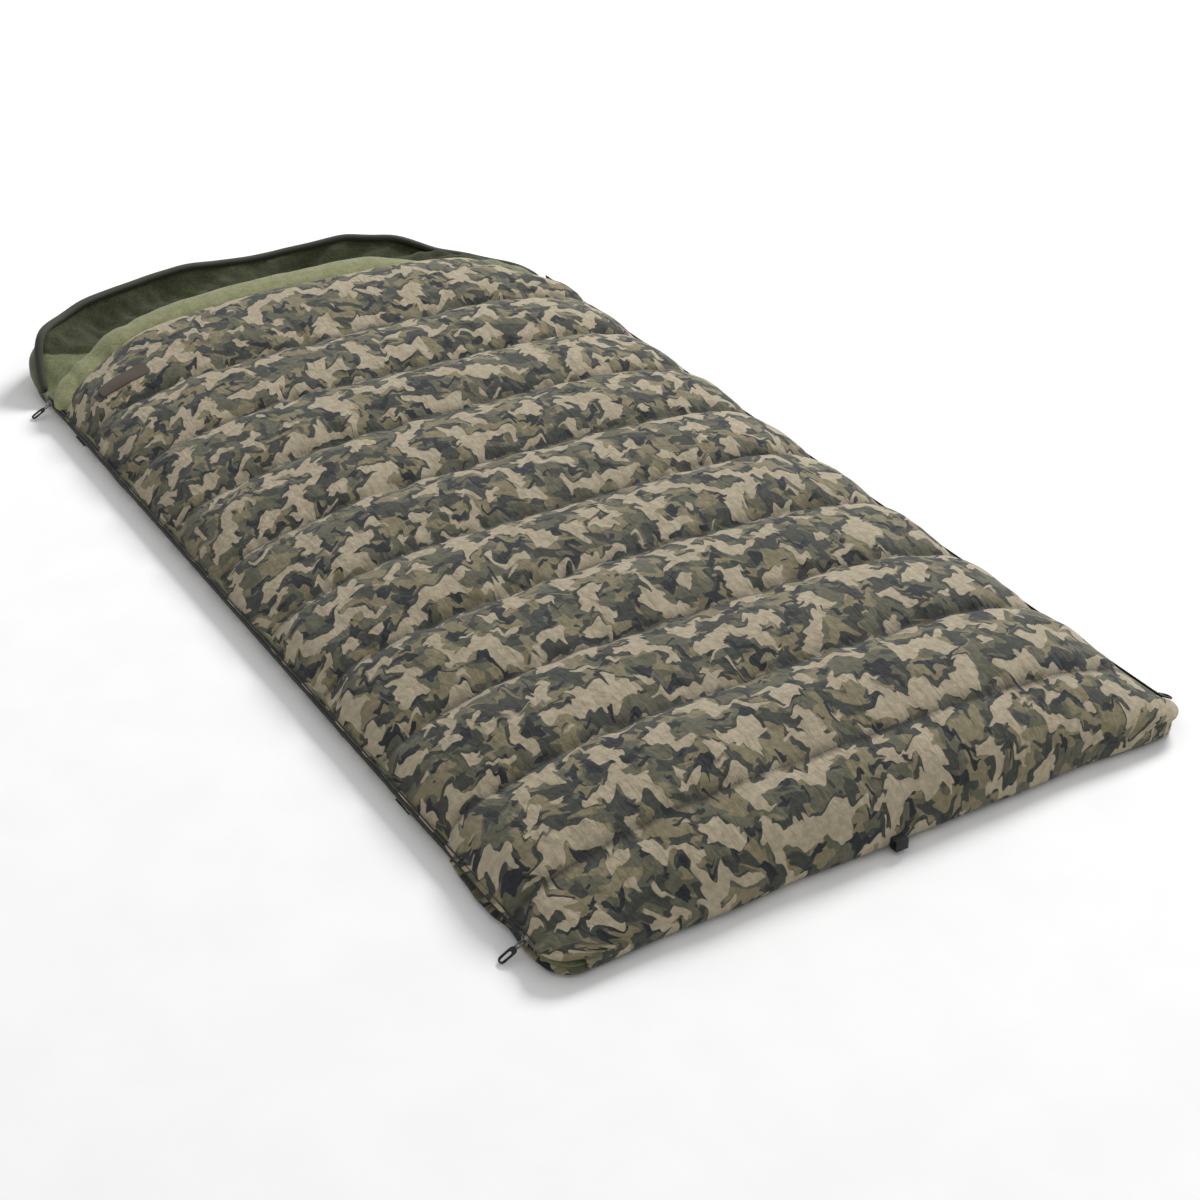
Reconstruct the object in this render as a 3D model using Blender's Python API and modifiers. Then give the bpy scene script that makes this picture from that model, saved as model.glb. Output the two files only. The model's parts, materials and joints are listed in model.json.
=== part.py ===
"""Rectangular bedchair sleeping bag: a padded base, a quilted camouflage cover on two side zips, and a hood.

Metres, +Z up. The origin is on the floor under the middle of the bag, +Y runs towards the head end.
The cover's head half folds back about a cross line at its middle, and the hood lifts about its root.
"""

import math

import bmesh
import bpy
import numpy as np
from mathutils import Matrix, Vector

# Driving dimensions
LENGTH = 2.10
FOOT_Y = -1.035  # foot wall of the base; the webbing loop reaches the full length
HALF_WIDTH = 0.515
FOOT_CORNER = 0.045
SHOULDER_Y = 0.825  # where the straight sides turn into the hood's half ellipse
HOOD_DEPTH = LENGTH / 2 - SHOULDER_Y
HOOD_ROOT_Y = 0.885
GAP = 0.0003

# Layers: each is (height at the thin side edge, height over the full middle)
SHELL_FLOOR = 0.003
SHELL_WALL = 0.0012
WALL_TOP = 0.0165
HEAD_WALL_TOP = 0.050
HEAD_WALL_Y = 0.80
BASE_FILL_TOP = (0.0140, 0.0470)
BASE_LINING_TOP = (0.0170, 0.0500)
COVER_LINING_LOW = (0.0265, 0.0680)
COVER_LINING_TOP = (0.0285, 0.0700)
COVER_EDGE_Z = 0.034
COVER_FABRIC = 0.0012
SEAM_Z = 0.110
CROWN_Z = 0.140
HEAD_EDGE_Z = 0.125
INNER_FLAT_HALF = 0.36  # the layers inside lie flat this far out, then slope down to the zips

SEAM_PITCH = 0.1866
FOOT_SEAM_Y = -0.925
SEAM_COUNT = 9
COVER_HEAD_Y = 0.785
HEAD_CORNER = 0.10  # how far the cover's head edge curves back at its corners
FOLD_SEAM = 5  # the cover folds back on this seam
SEAM_Y = [FOOT_SEAM_Y + SEAM_PITCH * i for i in range(SEAM_COUNT)]
FOLD_Y = SEAM_Y[FOLD_SEAM]
FOLD_GAP = 0.003
SEAM_GAP = 0.003
FILL_HALF = 0.500
LAYER_GAP = 0.001

ZIP_START_Y = -0.985
ZIP_END_Y = 0.765
ZIP_Z = 0.021
ZIP_ROW_GAP = 0.0016
ZIP_ROW_HEIGHT = 0.0028
ZIP_ROW_DEPTH = 0.0024
TAPE = 0.0008
TAPE_HEIGHT = 0.006
TAPE_X = HALF_WIDTH + GAP
SLIDER_LENGTH = 0.016
SLIDER_PLATE = 0.0012
HEAD_SLIDER_Y = 0.745
FOOT_SLIDER_Y = -0.965
PULL_AXIS_X = TAPE_X + ZIP_ROW_DEPTH + GAP + 2 * SLIDER_PLATE
PULL_TILT = 62  # degrees that a pull lies out from hanging straight down
DRAFT_TUBE_X = 0.486
DRAFT_TUBE_Z = 0.0288
DRAFT_TUBE_RADII = (0.012, 0.0030)

COLLAR_END = 0.490

STRAP_Y = {"foot": -0.62, "head": 0.62}
STRAP_HALF = 0.020
STRAP_CLEAR = 0.0005
LOOP_WIDTH = 0.020
LOOP_THICK = 0.0016
LOOP_Z = (0.006, 0.0225)
FAR = 1.2  # beyond the bag on every side, for cutters

RIM_WIDTH = 0.038
RIM_TOP = 0.088
RIM_BINDING = 0.010

FABRIC_ROUGHNESS = 0.85
COLOURS = {
    "camo": (0.16, 0.145, 0.105),
    "green": (0.085, 0.095, 0.05),
    "fleece": (0.19, 0.215, 0.105),
    "wadding": (0.75, 0.75, 0.72),
    "black": (0.012, 0.012, 0.012),
    "metal": (0.18, 0.18, 0.18),
    "patch": (0.05, 0.05, 0.04),
}

parts = bpy.data.collections.new("sleeping_bag")
cutters = bpy.data.collections.new("cutters")


def start():
    for obj in list(bpy.data.objects):
        bpy.data.objects.remove(obj, do_unlink=True)
    bpy.context.scene.collection.children.link(parts)
    bpy.context.scene.collection.children.link(cutters)


def material(name):
    found = bpy.data.materials.get(name)
    if found:
        return found
    made = bpy.data.materials.new(name)
    made.use_nodes = True
    shader = made.node_tree.nodes["Principled BSDF"]
    shader.inputs["Base Color"].default_value = (*COLOURS[name], 1)
    shader.inputs["Roughness"].default_value = 0.35 if name == "metal" else FABRIC_ROUGHNESS
    shader.inputs["Metallic"].default_value = 1.0 if name == "metal" else 0.0
    return made


def add(name, data, finish, parent=None, collection=parts):
    obj = bpy.data.objects.new(name, data)
    collection.objects.link(obj)
    if finish:
        data.materials.append(material(finish))
    if parent:
        obj.parent = parent
        obj.matrix_parent_inverse = Matrix.Translation(-parent.location)
    return obj


def axis_empty(name, place, parent=None):
    empty = bpy.data.objects.new(name, None)
    empty.location = place
    parts.objects.link(empty)
    if parent:
        empty.parent = parent
        empty.matrix_parent_inverse = Matrix.Translation(-parent.location)
    return empty


def mesh_from(bm, name):
    bmesh.ops.recalc_face_normals(bm, faces=bm.faces)
    mesh = bpy.data.meshes.new(name)
    bm.to_mesh(mesh)
    bm.free()
    return mesh


def prism(name, outline, z_low, z_high, finish, parent=None):
    """A flat outline in plan, extruded from z_low to z_high."""
    curve = bpy.data.curves.new(name, "CURVE")
    curve.dimensions = "2D"
    curve.fill_mode = "BOTH"
    curve.extrude = (z_high - z_low) / 2
    spline = curve.splines.new("POLY")
    spline.points.add(len(outline) - 1)
    for point, (x, y) in zip(spline.points, outline):
        point.co = (x, y, 0, 1)
    spline.use_cyclic_u = True
    obj = add(name, curve, finish)
    obj.location = (0, 0, (z_low + z_high) / 2)
    if parent:
        obj.parent = parent
        obj.matrix_parent_inverse = Matrix.Translation(-parent.location)
    return obj


def box(name, low, high, finish=None, parent=None, collection=parts):
    bm = bmesh.new()
    bmesh.ops.create_cube(bm, size=1)
    middle = (Vector(low) + Vector(high)) / 2
    size = Vector(high) - Vector(low)
    bmesh.ops.scale(bm, vec=size, verts=bm.verts)
    bmesh.ops.translate(bm, vec=middle, verts=bm.verts)
    return add(name, mesh_from(bm, name), finish, parent, collection)


def boolean(obj, other, operation):
    modifier = obj.modifiers.new(operation.lower() + "_" + other.name, "BOOLEAN")
    modifier.operation = operation
    modifier.object = other
    other.hide_render = True
    other.display_type = "WIRE"


def arc(centre, radii, first, last, steps):
    """Points along an ellipse's arc, angles in degrees."""
    angles = [math.radians(first + (last - first) * i / steps) for i in range(steps + 1)]
    return [(centre[0] + radii[0] * math.cos(a), centre[1] + radii[1] * math.sin(a)) for a in angles]


def half_width_at(y, inset=0.0):
    """The bag's half width at y: rounded foot corners, straight sides, then the hood's ellipse."""
    half = HALF_WIDTH - inset
    if y > SHOULDER_Y:
        reach = (y - SHOULDER_Y) / (HOOD_DEPTH - inset)
        return half * math.sqrt(max(0.0, 1 - reach * reach))
    radius = FOOT_CORNER - inset
    into_corner = FOOT_Y + FOOT_CORNER - y
    if into_corner > 0:
        return half - radius + math.sqrt(max(0.0, radius * radius - into_corner * into_corner))
    return half


def base_outline(inset, overshoot=0.0):
    """The base in plan, from its foot wall to the hood's root line."""
    half = HALF_WIDTH - inset
    radius = FOOT_CORNER - inset
    right = arc((half - radius, FOOT_Y + FOOT_CORNER), (radius, radius), -90, 0, 4)
    right += [(half, SHOULDER_Y)]
    right += [(half_width_at(y, inset), y) for y in (SHOULDER_Y + 0.03, HOOD_ROOT_Y)]
    if overshoot:
        right += [(right[-1][0], HOOD_ROOT_Y + overshoot)]
    return right + [(-x, y) for x, y in reversed(right)]


def hood_outline(inset, root_y):
    """The hood in plan: a segment of the half ellipse, from its root line to the apex."""
    first = math.degrees(math.asin((root_y - SHOULDER_Y) / (HOOD_DEPTH - inset)))
    return arc((0, SHOULDER_Y), (HALF_WIDTH - inset, HOOD_DEPTH - inset), first, 180 - first, 18)


# The cover's section across the bag and along each channel, as fractions at a few steps
SIDE_STEPS = (0, 0.3, 0.55, 0.72, 0.84, 0.93, 0.992)
SIDE_FALL = [(1 - step**3.2) ** 0.75 for step in SIDE_STEPS]
CHANNEL_STEPS = (0.0, 0.08, 0.25, 0.5, 0.75, 0.92, 1.0)
CHANNEL_CROWN = [math.sqrt(1 - (2 * step - 1) ** 2) for step in CHANNEL_STEPS]
FOOT_FALL = [(1 - (1 - step) ** 2.2) ** 0.6 for step in CHANNEL_STEPS]
COVER_X = [sign * HALF_WIDTH * step for sign in (-1, 1) for step in SIDE_STEPS[:: -1 if sign < 0 else 1]]
COVER_X.remove(0)
INNER_X = sorted({max(-FILL_HALF, min(FILL_HALF, x)) for x in [*COVER_X, -INNER_FLAT_HALF, INNER_FLAT_HALF]})
FOOT_STEPS_Y = [FOOT_Y + (FOOT_SEAM_Y - FOOT_Y) * step for step in CHANNEL_STEPS]


def layer_height(x, y, layer):
    """A layer inside the bag: flat in the middle, sloping to the sides and the foot, full at the head."""
    side = float(np.interp(abs(x), (INNER_FLAT_HALF, HALF_WIDTH), (1, 0)))
    side = side + (1 - side) * float(np.interp(y, (HEAD_WALL_Y - 0.03, HOOD_ROOT_Y), (0, 1)))
    foot = float(np.interp(y, (FOOT_Y, FOOT_SEAM_Y), (0, 1)))
    return layer[0] + (layer[1] - layer[0]) * side * foot


def cover_height(x, y, low, high):
    """The cover's top over the channel whose seams are at low and high, straight between the steps."""
    side = float(np.interp(abs(x) / HALF_WIDTH, SIDE_STEPS, SIDE_FALL))
    across = (y - low) / (high - low)
    if low < FOOT_SEAM_Y - 1e-6:
        ridge = COVER_EDGE_Z + (SEAM_Z - COVER_EDGE_Z) * float(np.interp(across, CHANNEL_STEPS, FOOT_FALL))
    else:
        seam = SEAM_Z + (HEAD_EDGE_Z - SEAM_Z) * across if high == COVER_HEAD_Y else SEAM_Z
        ridge = seam + (CROWN_Z - seam) * float(np.interp(across, CHANNEL_STEPS, CHANNEL_CROWN))
    return COVER_EDGE_Z + (ridge - COVER_EDGE_Z) * side


def head_curve(x, y):
    """Draws the last channel back towards the cover's rounded head corners."""
    across = max(0.0, (y - SEAM_Y[-1]) / (COVER_HEAD_Y - SEAM_Y[-1]))
    return y - HEAD_CORNER * (abs(x) / HALF_WIDTH) ** 6 * across


def as_drawn(x, y):
    return x, y


def grid(xs, ys, height, place=as_drawn, bottom=None):
    """An open sheet over the given lines, z from height(x, y), moved in plan by place(x, y)."""
    bm = bmesh.new()
    bmesh.ops.create_grid(bm, x_segments=len(xs) - 1, y_segments=len(ys) - 1, size=0.5)
    under = bm.verts.layers.float.new("under")
    for vertex in bm.verts:
        column = round((vertex.co.x + 0.5) * (len(xs) - 1))
        row = round((vertex.co.y + 0.5) * (len(ys) - 1))
        x, y = xs[column], ys[row]
        vertex.co = (*place(x, y), height(x, y))
        if bottom:
            vertex[under] = bottom(x, y)
    return bm


def slab(name, xs, ys, bottom, top, finish, parent, place=as_drawn):
    """A closed layer between two height functions over one grid."""
    bm = grid(xs, ys, top, place, bottom)
    under = bm.verts.layers.float["under"]
    copied = bmesh.ops.extrude_face_region(bm, geom=list(bm.faces))
    for item in copied["geom"]:
        if isinstance(item, bmesh.types.BMVert):
            item.co.z = item[under]
    return add(name, mesh_from(bm, name), finish, parent)


def cover_shell(name, channels, parent=None):
    """The camouflage fabric over some channels, scalloped between the seams."""
    rows = []
    for low, high in channels:
        rows += [(low + (high - low) * s, low, high) for s in CHANNEL_STEPS[(1 if rows else 0) :]]
    first, last = rows[0][0], rows[-1][0]
    rows[0] = (first + FOLD_GAP / 2, *rows[0][1:])
    rows[-1] = (last - FOLD_GAP / 2, *rows[-1][1:])
    spans = {y: (low, high) for y, low, high in rows}
    bm = grid(COVER_X, [row[0] for row in rows], lambda x, y: cover_height(x, y, *spans[y]), head_place)
    obj = add(name, mesh_from(bm, name), "camo", parent)
    solid = obj.modifiers.new("fabric", "SOLIDIFY")
    solid.thickness = COVER_FABRIC
    solid.offset = -1
    return obj


def head_place(x, y):
    return x, head_curve(x, y)


def cover_fill(name, low, high, parent=None):
    """One channel's wadding, clear of both seams, of the lining and of the shell."""
    ys = [low + (high - low) * step for step in CHANNEL_STEPS]
    ys[0] += SEAM_GAP
    ys[-1] -= SEAM_GAP
    if low == FOOT_Y:
        ys = [ys[1] + 0.002, *ys[2:]]  # the foot's steep end leaves no room for wadding
    drop = COVER_FABRIC + 0.0022
    return slab(
        name,
        INNER_X,
        ys,
        lambda x, y: layer_height(x, y, COVER_LINING_TOP) + LAYER_GAP,
        lambda x, y: cover_height(x, y, low, high) - drop,
        "wadding",
        parent,
        head_place,
    )


def build_base(root):
    floor = prism("base_outer_shell", base_outline(0), 0, HEAD_WALL_TOP, "green", root)
    tray = solid_mesh(floor)
    tray.data.materials.append(material("green"))
    hollow = base_outline(SHELL_WALL, overshoot=0.01)
    inside = solid_mesh(prism("base_hollow", hollow, SHELL_FLOOR, HEAD_WALL_TOP + 0.01, None))
    move_to_cutters(inside)
    boolean(tray, inside, "DIFFERENCE")
    above = box("low_wall_cut", (-FAR, -FAR, WALL_TOP), (FAR, HEAD_WALL_Y, FAR), collection=cutters)
    boolean(tray, above, "DIFFERENCE")
    reach = HALF_WIDTH - 0.002
    for name, y in STRAP_Y.items():
        ends = (y - STRAP_HALF, y + STRAP_HALF)
        groove = box(
            f"strap_groove_{name}",
            (-FAR, ends[0] - STRAP_CLEAR, -0.01),
            (FAR, ends[1] + STRAP_CLEAR, 0.0018),
            collection=cutters,
        )
        boolean(tray, groove, "DIFFERENCE")
        box(f"bedchair_strap_{name}", (-reach, ends[0], 0.0002), (reach, ends[1], 0.0015), "black", root)
    inset = SHELL_WALL + 2 * GAP
    base_layer("base_fill", inset, lambda x, y: SHELL_FLOOR + GAP, BASE_FILL_TOP, "wadding", root)
    above_fill = (BASE_FILL_TOP[0] + GAP, BASE_FILL_TOP[1] + GAP)

    def lining_low(x, y):
        return layer_height(x, y, above_fill)

    base_layer("base_fleece_lining", inset, lining_low, BASE_LINING_TOP, "fleece", root)
    build_foot_loop(root)


def base_layer(name, inset, bottom, top, finish, parent):
    """A layer of the base that fills its outline."""
    fractions = [x / HALF_WIDTH for x in sorted({-INNER_FLAT_HALF, INNER_FLAT_HALF, 0})]
    fractions = [-1, *fractions, 1]
    turns = [math.radians(a) for a in (0, 22.5, 45, 67.5, 90)]
    corner = [FOOT_Y + inset + (FOOT_CORNER - inset) * (1 - math.cos(turn)) for turn in turns]
    ys = [*corner, FOOT_SEAM_Y, HEAD_WALL_Y - 0.03, SHOULDER_Y, SHOULDER_Y + 0.03, HOOD_ROOT_Y]

    def place(x, y):
        return x * half_width_at(y, inset), y

    def world(height):
        return lambda x, y: height(*place(x, y))

    upper = world(lambda x, y: layer_height(x, y, top))
    return slab(name, fractions, ys, world(bottom), upper, finish, parent, place)


def solid_mesh(obj):
    """The curve object's evaluated shape as a mesh object, its loose caps welded."""
    graph = bpy.context.evaluated_depsgraph_get()
    mesh = bpy.data.meshes.new_from_object(obj.evaluated_get(graph))
    bm = bmesh.new()
    bm.from_mesh(mesh)
    bmesh.ops.remove_doubles(bm, verts=bm.verts, dist=1e-5)
    bmesh.ops.recalc_face_normals(bm, faces=bm.faces)
    bm.to_mesh(mesh)
    bm.free()
    name, world, parent = obj.name, obj.matrix_world.copy(), obj.parent
    bpy.data.objects.remove(obj)
    made = bpy.data.objects.new(name, mesh)
    parts.objects.link(made)
    made.matrix_world = world
    if parent:
        made.parent = parent
        made.matrix_parent_inverse = Matrix.Translation(-parent.location)
    return made


def move_to_cutters(obj):
    parts.objects.unlink(obj)
    cutters.objects.link(obj)


def build_foot_loop(root):
    """A short webbing loop sewn into the foot seam, to hang the bag up by."""
    low, high = LOOP_Z
    y_out, y_in = -LENGTH / 2, FOOT_Y - GAP
    half = LOOP_WIDTH / 2
    outer = box("foot_hanging_loop", (-half, y_out, low), (half, y_in, high), "black", root)
    slot = box(
        "foot_loop_slot",
        (-LOOP_WIDTH, y_out + LOOP_THICK, low + LOOP_THICK),
        (LOOP_WIDTH, y_in - LOOP_THICK, high - LOOP_THICK),
        collection=cutters,
    )
    boolean(outer, slot, "DIFFERENCE")


def zip_row(name, side, y_low, y_high, upper, parent):
    """Half a zip: the tooth row and its tape, one straight extrusion along Y."""
    row_low = ZIP_Z + ZIP_ROW_GAP / 2
    sign = 1 if upper else -1
    z = [row_low, row_low + ZIP_ROW_HEIGHT, row_low + ZIP_ROW_HEIGHT + TAPE_HEIGHT]
    z = [ZIP_Z + sign * (level - ZIP_Z) for level in z]
    x_in, x_tape, x_row = TAPE_X, TAPE_X + TAPE, TAPE_X + ZIP_ROW_DEPTH
    outline = [(x_in, z[0]), (x_row, z[0]), (x_row, z[1]), (x_tape, z[1]), (x_tape, z[2]), (x_in, z[2])]
    bm = bmesh.new()
    face = bm.faces.new([bm.verts.new((side * x, y_low, height)) for x, height in outline])
    swept = bmesh.ops.extrude_face_region(bm, geom=[face])
    moved = [item for item in swept["geom"] if isinstance(item, bmesh.types.BMVert)]
    bmesh.ops.translate(bm, vec=(0, y_high - y_low, 0), verts=moved)
    return add(name, mesh_from(bm, name), "black", parent)


def slider(name, side, y, parent):
    """A zip slider: inner and outer plates, the divider between the tooth rows, and a bridge for the pull."""
    length = SLIDER_LENGTH / 2
    inner = (TAPE_X - GAP - SLIDER_PLATE, TAPE_X - GAP)
    outer = (TAPE_X + ZIP_ROW_DEPTH + GAP, TAPE_X + ZIP_ROW_DEPTH + GAP + SLIDER_PLATE)
    bridge = (PULL_AXIS_X + 0.0012, PULL_AXIS_X + 0.0024)
    solids = [
        ((outer[0], -length, -0.0060), (outer[1], length, 0.0060)),
        ((inner[0], -length, -0.0034), (inner[1], length, 0.0034)),
        ((inner[0] + 0.0006, -0.003, -0.0005), (outer[0] + 0.0006, 0.003, 0.0005)),
        ((outer[0] + 0.0006, -0.0015, -0.0040), (bridge[1], 0.0015, -0.0028)),
        ((outer[0] + 0.0006, -0.0015, 0.0028), (bridge[1], 0.0015, 0.0040)),
        ((bridge[0], -0.0015, -0.0040), (bridge[1], 0.0015, 0.0040)),
    ]
    made = None
    for index, (low, high) in enumerate(solids):
        x = sorted((side * low[0], side * high[0]))
        ends = (x[0], y + low[1], ZIP_Z + low[2]), (x[1], y + high[1], ZIP_Z + high[2])
        if made:
            boolean(made, box(f"{name}_piece_{index}", *ends, collection=cutters), "UNION")
        else:
            made = box(name, *ends, "metal", parent)
    return made


def ring_outline(half_width, low, high, steps=6):
    """A long ring's edge: straight sides and round ends, hanging below the pull's axis."""
    points = arc((0, high - half_width), (half_width, half_width), 0, 180, steps)
    return points + arc((0, low + half_width), (half_width, half_width), 180, 360, steps)


def plate(name, outline, half_thick, finish, parent, collection=parts):
    """A flat plate square to X in its parent's own frame: outline points are (y, z)."""
    bm = bmesh.new()
    face = bm.faces.new([bm.verts.new((-half_thick, y, z)) for y, z in outline])
    swept = bmesh.ops.extrude_face_region(bm, geom=[face])
    moved = [item for item in swept["geom"] if isinstance(item, bmesh.types.BMVert)]
    bmesh.ops.translate(bm, vec=(2 * half_thick, 0, 0), verts=moved)
    obj = add(name, mesh_from(bm, name), finish, None, collection)
    obj.parent = parent
    return obj


def rectangle(half_width, low, high):
    return [(-half_width, low), (half_width, low), (half_width, high), (-half_width, high)]


def pull_tab(name, parent):
    """A flat metal pull whose cross-bar turns inside the slider's bridge."""
    tab = plate(name, rectangle(0.0038, -0.0180, 0.0006), 0.0006, "metal", parent)
    eye = plate(name + "_eye", rectangle(0.0023, -0.0100, -0.0006), 0.01, None, parent, cutters)
    boolean(tab, eye, "DIFFERENCE")
    return tab


def pull_loop(name, parent):
    """A black loop moulded over the end of the tab."""
    loop = plate(name, ring_outline(0.0062, -0.0400, -0.0120), 0.0013, "black", parent)
    inside = plate(name + "_inside", ring_outline(0.0036, -0.0374, -0.0195), 0.01, None, parent, cutters)
    pocket = plate(name + "_pocket", rectangle(0.0041, -0.0183, 0.0), 0.0009, None, parent, cutters)
    boolean(loop, inside, "DIFFERENCE")
    boolean(loop, pocket, "DIFFERENCE")
    return loop


def build_zips(root, cover):
    for label, side in (("left", -1), ("right", 1)):
        zip_row(f"base_zip_{label}", side, ZIP_START_Y, ZIP_END_Y, False, root)
        zip_row(f"cover_zip_foot_{label}", side, ZIP_START_Y, FOLD_Y - FOLD_GAP / 2, True, root)
        zip_row(f"cover_zip_head_{label}", side, FOLD_Y + FOLD_GAP / 2, ZIP_END_Y, True, cover)
        x = sorted((side * (TAPE_X + GAP), side * (TAPE_X + 0.0030)))
        for end, y, top in (("foot", ZIP_START_Y - 0.0045, 0.0040), ("head", ZIP_END_Y + 0.0005, -0.0008)):
            low, high = (x[0], y, ZIP_Z - 0.0040), (x[1], y + 0.004, ZIP_Z + top)
            box(f"zip_stop_{end}_{label}", low, high, "metal", root)
        draft_tube(f"zip_draft_tube_{label}", side, root)
        for end, y in (("head", HEAD_SLIDER_Y), ("foot", FOOT_SLIDER_Y)):
            slide = axis_empty(f"axis_slider_{end}_{label}", (side * TAPE_X, y, ZIP_Z), root)
            slider(f"slider_{end}_{label}", side, y, slide)
            swing = axis_empty(f"axis_pull_{end}_{label}", (side * PULL_AXIS_X, y, ZIP_Z), slide)
            swing.rotation_euler = (0, -side * math.radians(PULL_TILT), 0)
            pull_tab(f"pull_tab_{end}_{label}", swing)
            pull_loop(f"pull_loop_{end}_{label}", swing)


def draft_tube(name, side, root):
    """The padded strip inside each zip, a flattened roll on the lining's edge."""
    low, high = FOOT_SEAM_Y + 0.02, HEAD_WALL_Y - 0.06
    bm = bmesh.new()
    bmesh.ops.create_cone(bm, cap_ends=True, segments=10, radius1=1, radius2=1, depth=1)
    turn = Matrix.Rotation(math.radians(90), 4, "X")
    size = Matrix.Diagonal((DRAFT_TUBE_RADII[0], high - low, DRAFT_TUBE_RADII[1], 1))
    place = Matrix.Translation((side * DRAFT_TUBE_X, (low + high) / 2, DRAFT_TUBE_Z))
    bmesh.ops.transform(bm, matrix=place @ size @ turn, verts=bm.verts)
    return add(name, mesh_from(bm, name), "fleece", root)


def build_cover(root, cover):
    edges = [FOOT_Y, *SEAM_Y, COVER_HEAD_Y]
    channels = list(zip(edges[:-1], edges[1:]))
    foot = channels[: FOLD_SEAM + 1]
    head = channels[FOLD_SEAM + 1 :]
    cover_shell("cover_shell_foot", foot, root)
    cover_shell("cover_shell_head", head, cover)
    for index, (low, high) in enumerate(channels, 1):
        cover_fill(f"cover_fill_{index:02d}", low, high, root if index <= len(foot) else cover)
    rise_ys = [FOOT_Y + SEAM_GAP, *FOOT_STEPS_Y[1:-1], FOOT_SEAM_Y - SEAM_GAP]
    foot_ys = [*rise_ys, FOOT_SEAM_Y, FOLD_Y - FOLD_GAP / 2]
    cover_lining("cover_lining_foot", foot_ys, root)
    cover_lining("cover_lining_head", [FOLD_Y + FOLD_GAP / 2, SEAM_Y[-1], COVER_HEAD_Y], cover)
    build_collar(cover)
    build_patch(cover, channels[-1])


def cover_lining(name, ys, parent):
    def height(layer):
        return lambda x, y: layer_height(x, min(y, SHOULDER_Y - 0.06), layer)

    return slab(
        name, INNER_X, ys, height(COVER_LINING_LOW), height(COVER_LINING_TOP), "fleece", parent, head_place
    )


def build_collar(cover):
    """The fleece roll along the cover's head edge, round the neck. It thins to its ends."""
    curve = bpy.data.curves.new("neck_collar", "CURVE")
    curve.dimensions = "3D"
    curve.bevel_depth = 1.0
    curve.bevel_resolution = 2
    curve.use_fill_caps = True
    spline = curve.splines.new("POLY")
    steps = [COLLAR_END * s for s in (-1, -0.93, -0.82, -0.66, -0.4, 0, 0.4, 0.66, 0.82, 0.93, 1)]
    spline.points.add(len(steps) - 1)
    last = (SEAM_Y[-1], COVER_HEAD_Y)
    for point, x in zip(spline.points, steps):
        low = layer_height(x, 0, COVER_LINING_LOW)
        high = cover_height(x, COVER_HEAD_Y, *last)
        radius = (high - low) / 2
        point.co = (x, head_curve(x, COVER_HEAD_Y) + radius * 1.15 + 0.001, (low + high) / 2, 1)
        point.radius = radius
    return add("neck_collar", curve, "fleece", cover)


def build_patch(cover, channel):
    """A plain woven patch sewn on the head channel, near its left end."""
    xs = (-0.462, -HALF_WIDTH * SIDE_STEPS[4], -HALF_WIDTH * SIDE_STEPS[3])
    ys = (0.625, 0.640, 0.655)
    bm = grid(xs, ys, lambda x, y: cover_height(x, y, *channel) + 0.0014, head_place)
    obj = add("maker_patch", mesh_from(bm, "maker_patch"), "patch", cover)
    solid = obj.modifiers.new("fabric", "SOLIDIFY")
    solid.thickness = 0.001
    solid.offset = 0
    return obj


def hood_band(name, inset_out, inset_in, z_low, z_high, finish, hood, root_y=HOOD_ROOT_Y + GAP * 2):
    """A wall that follows the hood's edge, between two insets from the outer shell."""
    outer = hood_outline(inset_out, root_y)
    inner = hood_outline(inset_in, root_y)
    return prism(name, outer + inner[::-1], z_low, z_high, finish, hood)


def build_hood(hood):
    root_y = HOOD_ROOT_Y + GAP * 2
    wall = SHELL_WALL
    prism("hood_shell_floor", hood_outline(0, root_y), 0, SHELL_FLOOR, "green", hood)
    hood_band("hood_shell_rim", 0, wall, SHELL_FLOOR + GAP, RIM_TOP, "green", hood)
    prism("hood_fill", hood_outline(wall + GAP, root_y), SHELL_FLOOR + GAP, BASE_FILL_TOP[1], "wadding", hood)
    fill_low = BASE_FILL_TOP[1] + GAP
    hood_band("hood_rim_fill", wall + GAP, RIM_WIDTH, fill_low, RIM_TOP - 0.002, "wadding", hood)
    prism(
        "hood_fleece_lining",
        hood_outline(RIM_WIDTH + GAP, root_y),
        BASE_FILL_TOP[1] + GAP,
        BASE_LINING_TOP[1],
        "fleece",
        hood,
    )
    inner = RIM_WIDTH + GAP
    hood_band("hood_rim_lining", inner, inner + wall, BASE_LINING_TOP[1] + GAP, RIM_TOP, "fleece", hood)
    build_rim_binding(hood, root_y)


def build_rim_binding(hood, root_y):
    """The bound channel on top of the rim, slit along its underside, with the drawcord inside it."""
    z = RIM_TOP + GAP
    middle = RIM_WIDTH / 2
    half = RIM_BINDING / 2
    binding = hood_band("hood_rim_binding", middle - half, middle + half, z, z + RIM_BINDING, "black", hood)
    binding = solid_mesh(binding)
    binding.data.materials.append(material("black"))
    channel = hood_band(
        "drawcord_channel", middle - 0.003, middle + 0.003, z - 0.01, z + 0.0075, None, None, root_y - 0.01
    )
    channel = solid_mesh(channel)
    move_to_cutters(channel)
    boolean(binding, channel, "DIFFERENCE")
    cord = 0.0018  # half the drawcord's thickness
    low, high = z + 0.003, z + 0.003 + 2 * cord
    hood_band("hood_drawcord", middle - cord, middle + cord, low, high, "black", hood, root_y + 0.002)


def main():
    start()
    root = axis_empty("base", (0, 0, 0))
    cover = axis_empty("axis_cover_fold", (0, FOLD_Y, CROWN_Z + 0.008), root)
    hood = axis_empty("axis_hood_lift", (0, HOOD_ROOT_Y, 0.060), root)
    build_base(root)
    build_cover(root, cover)
    build_zips(root, cover)
    build_hood(hood)
    bpy.context.view_layer.update()


main()
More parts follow.
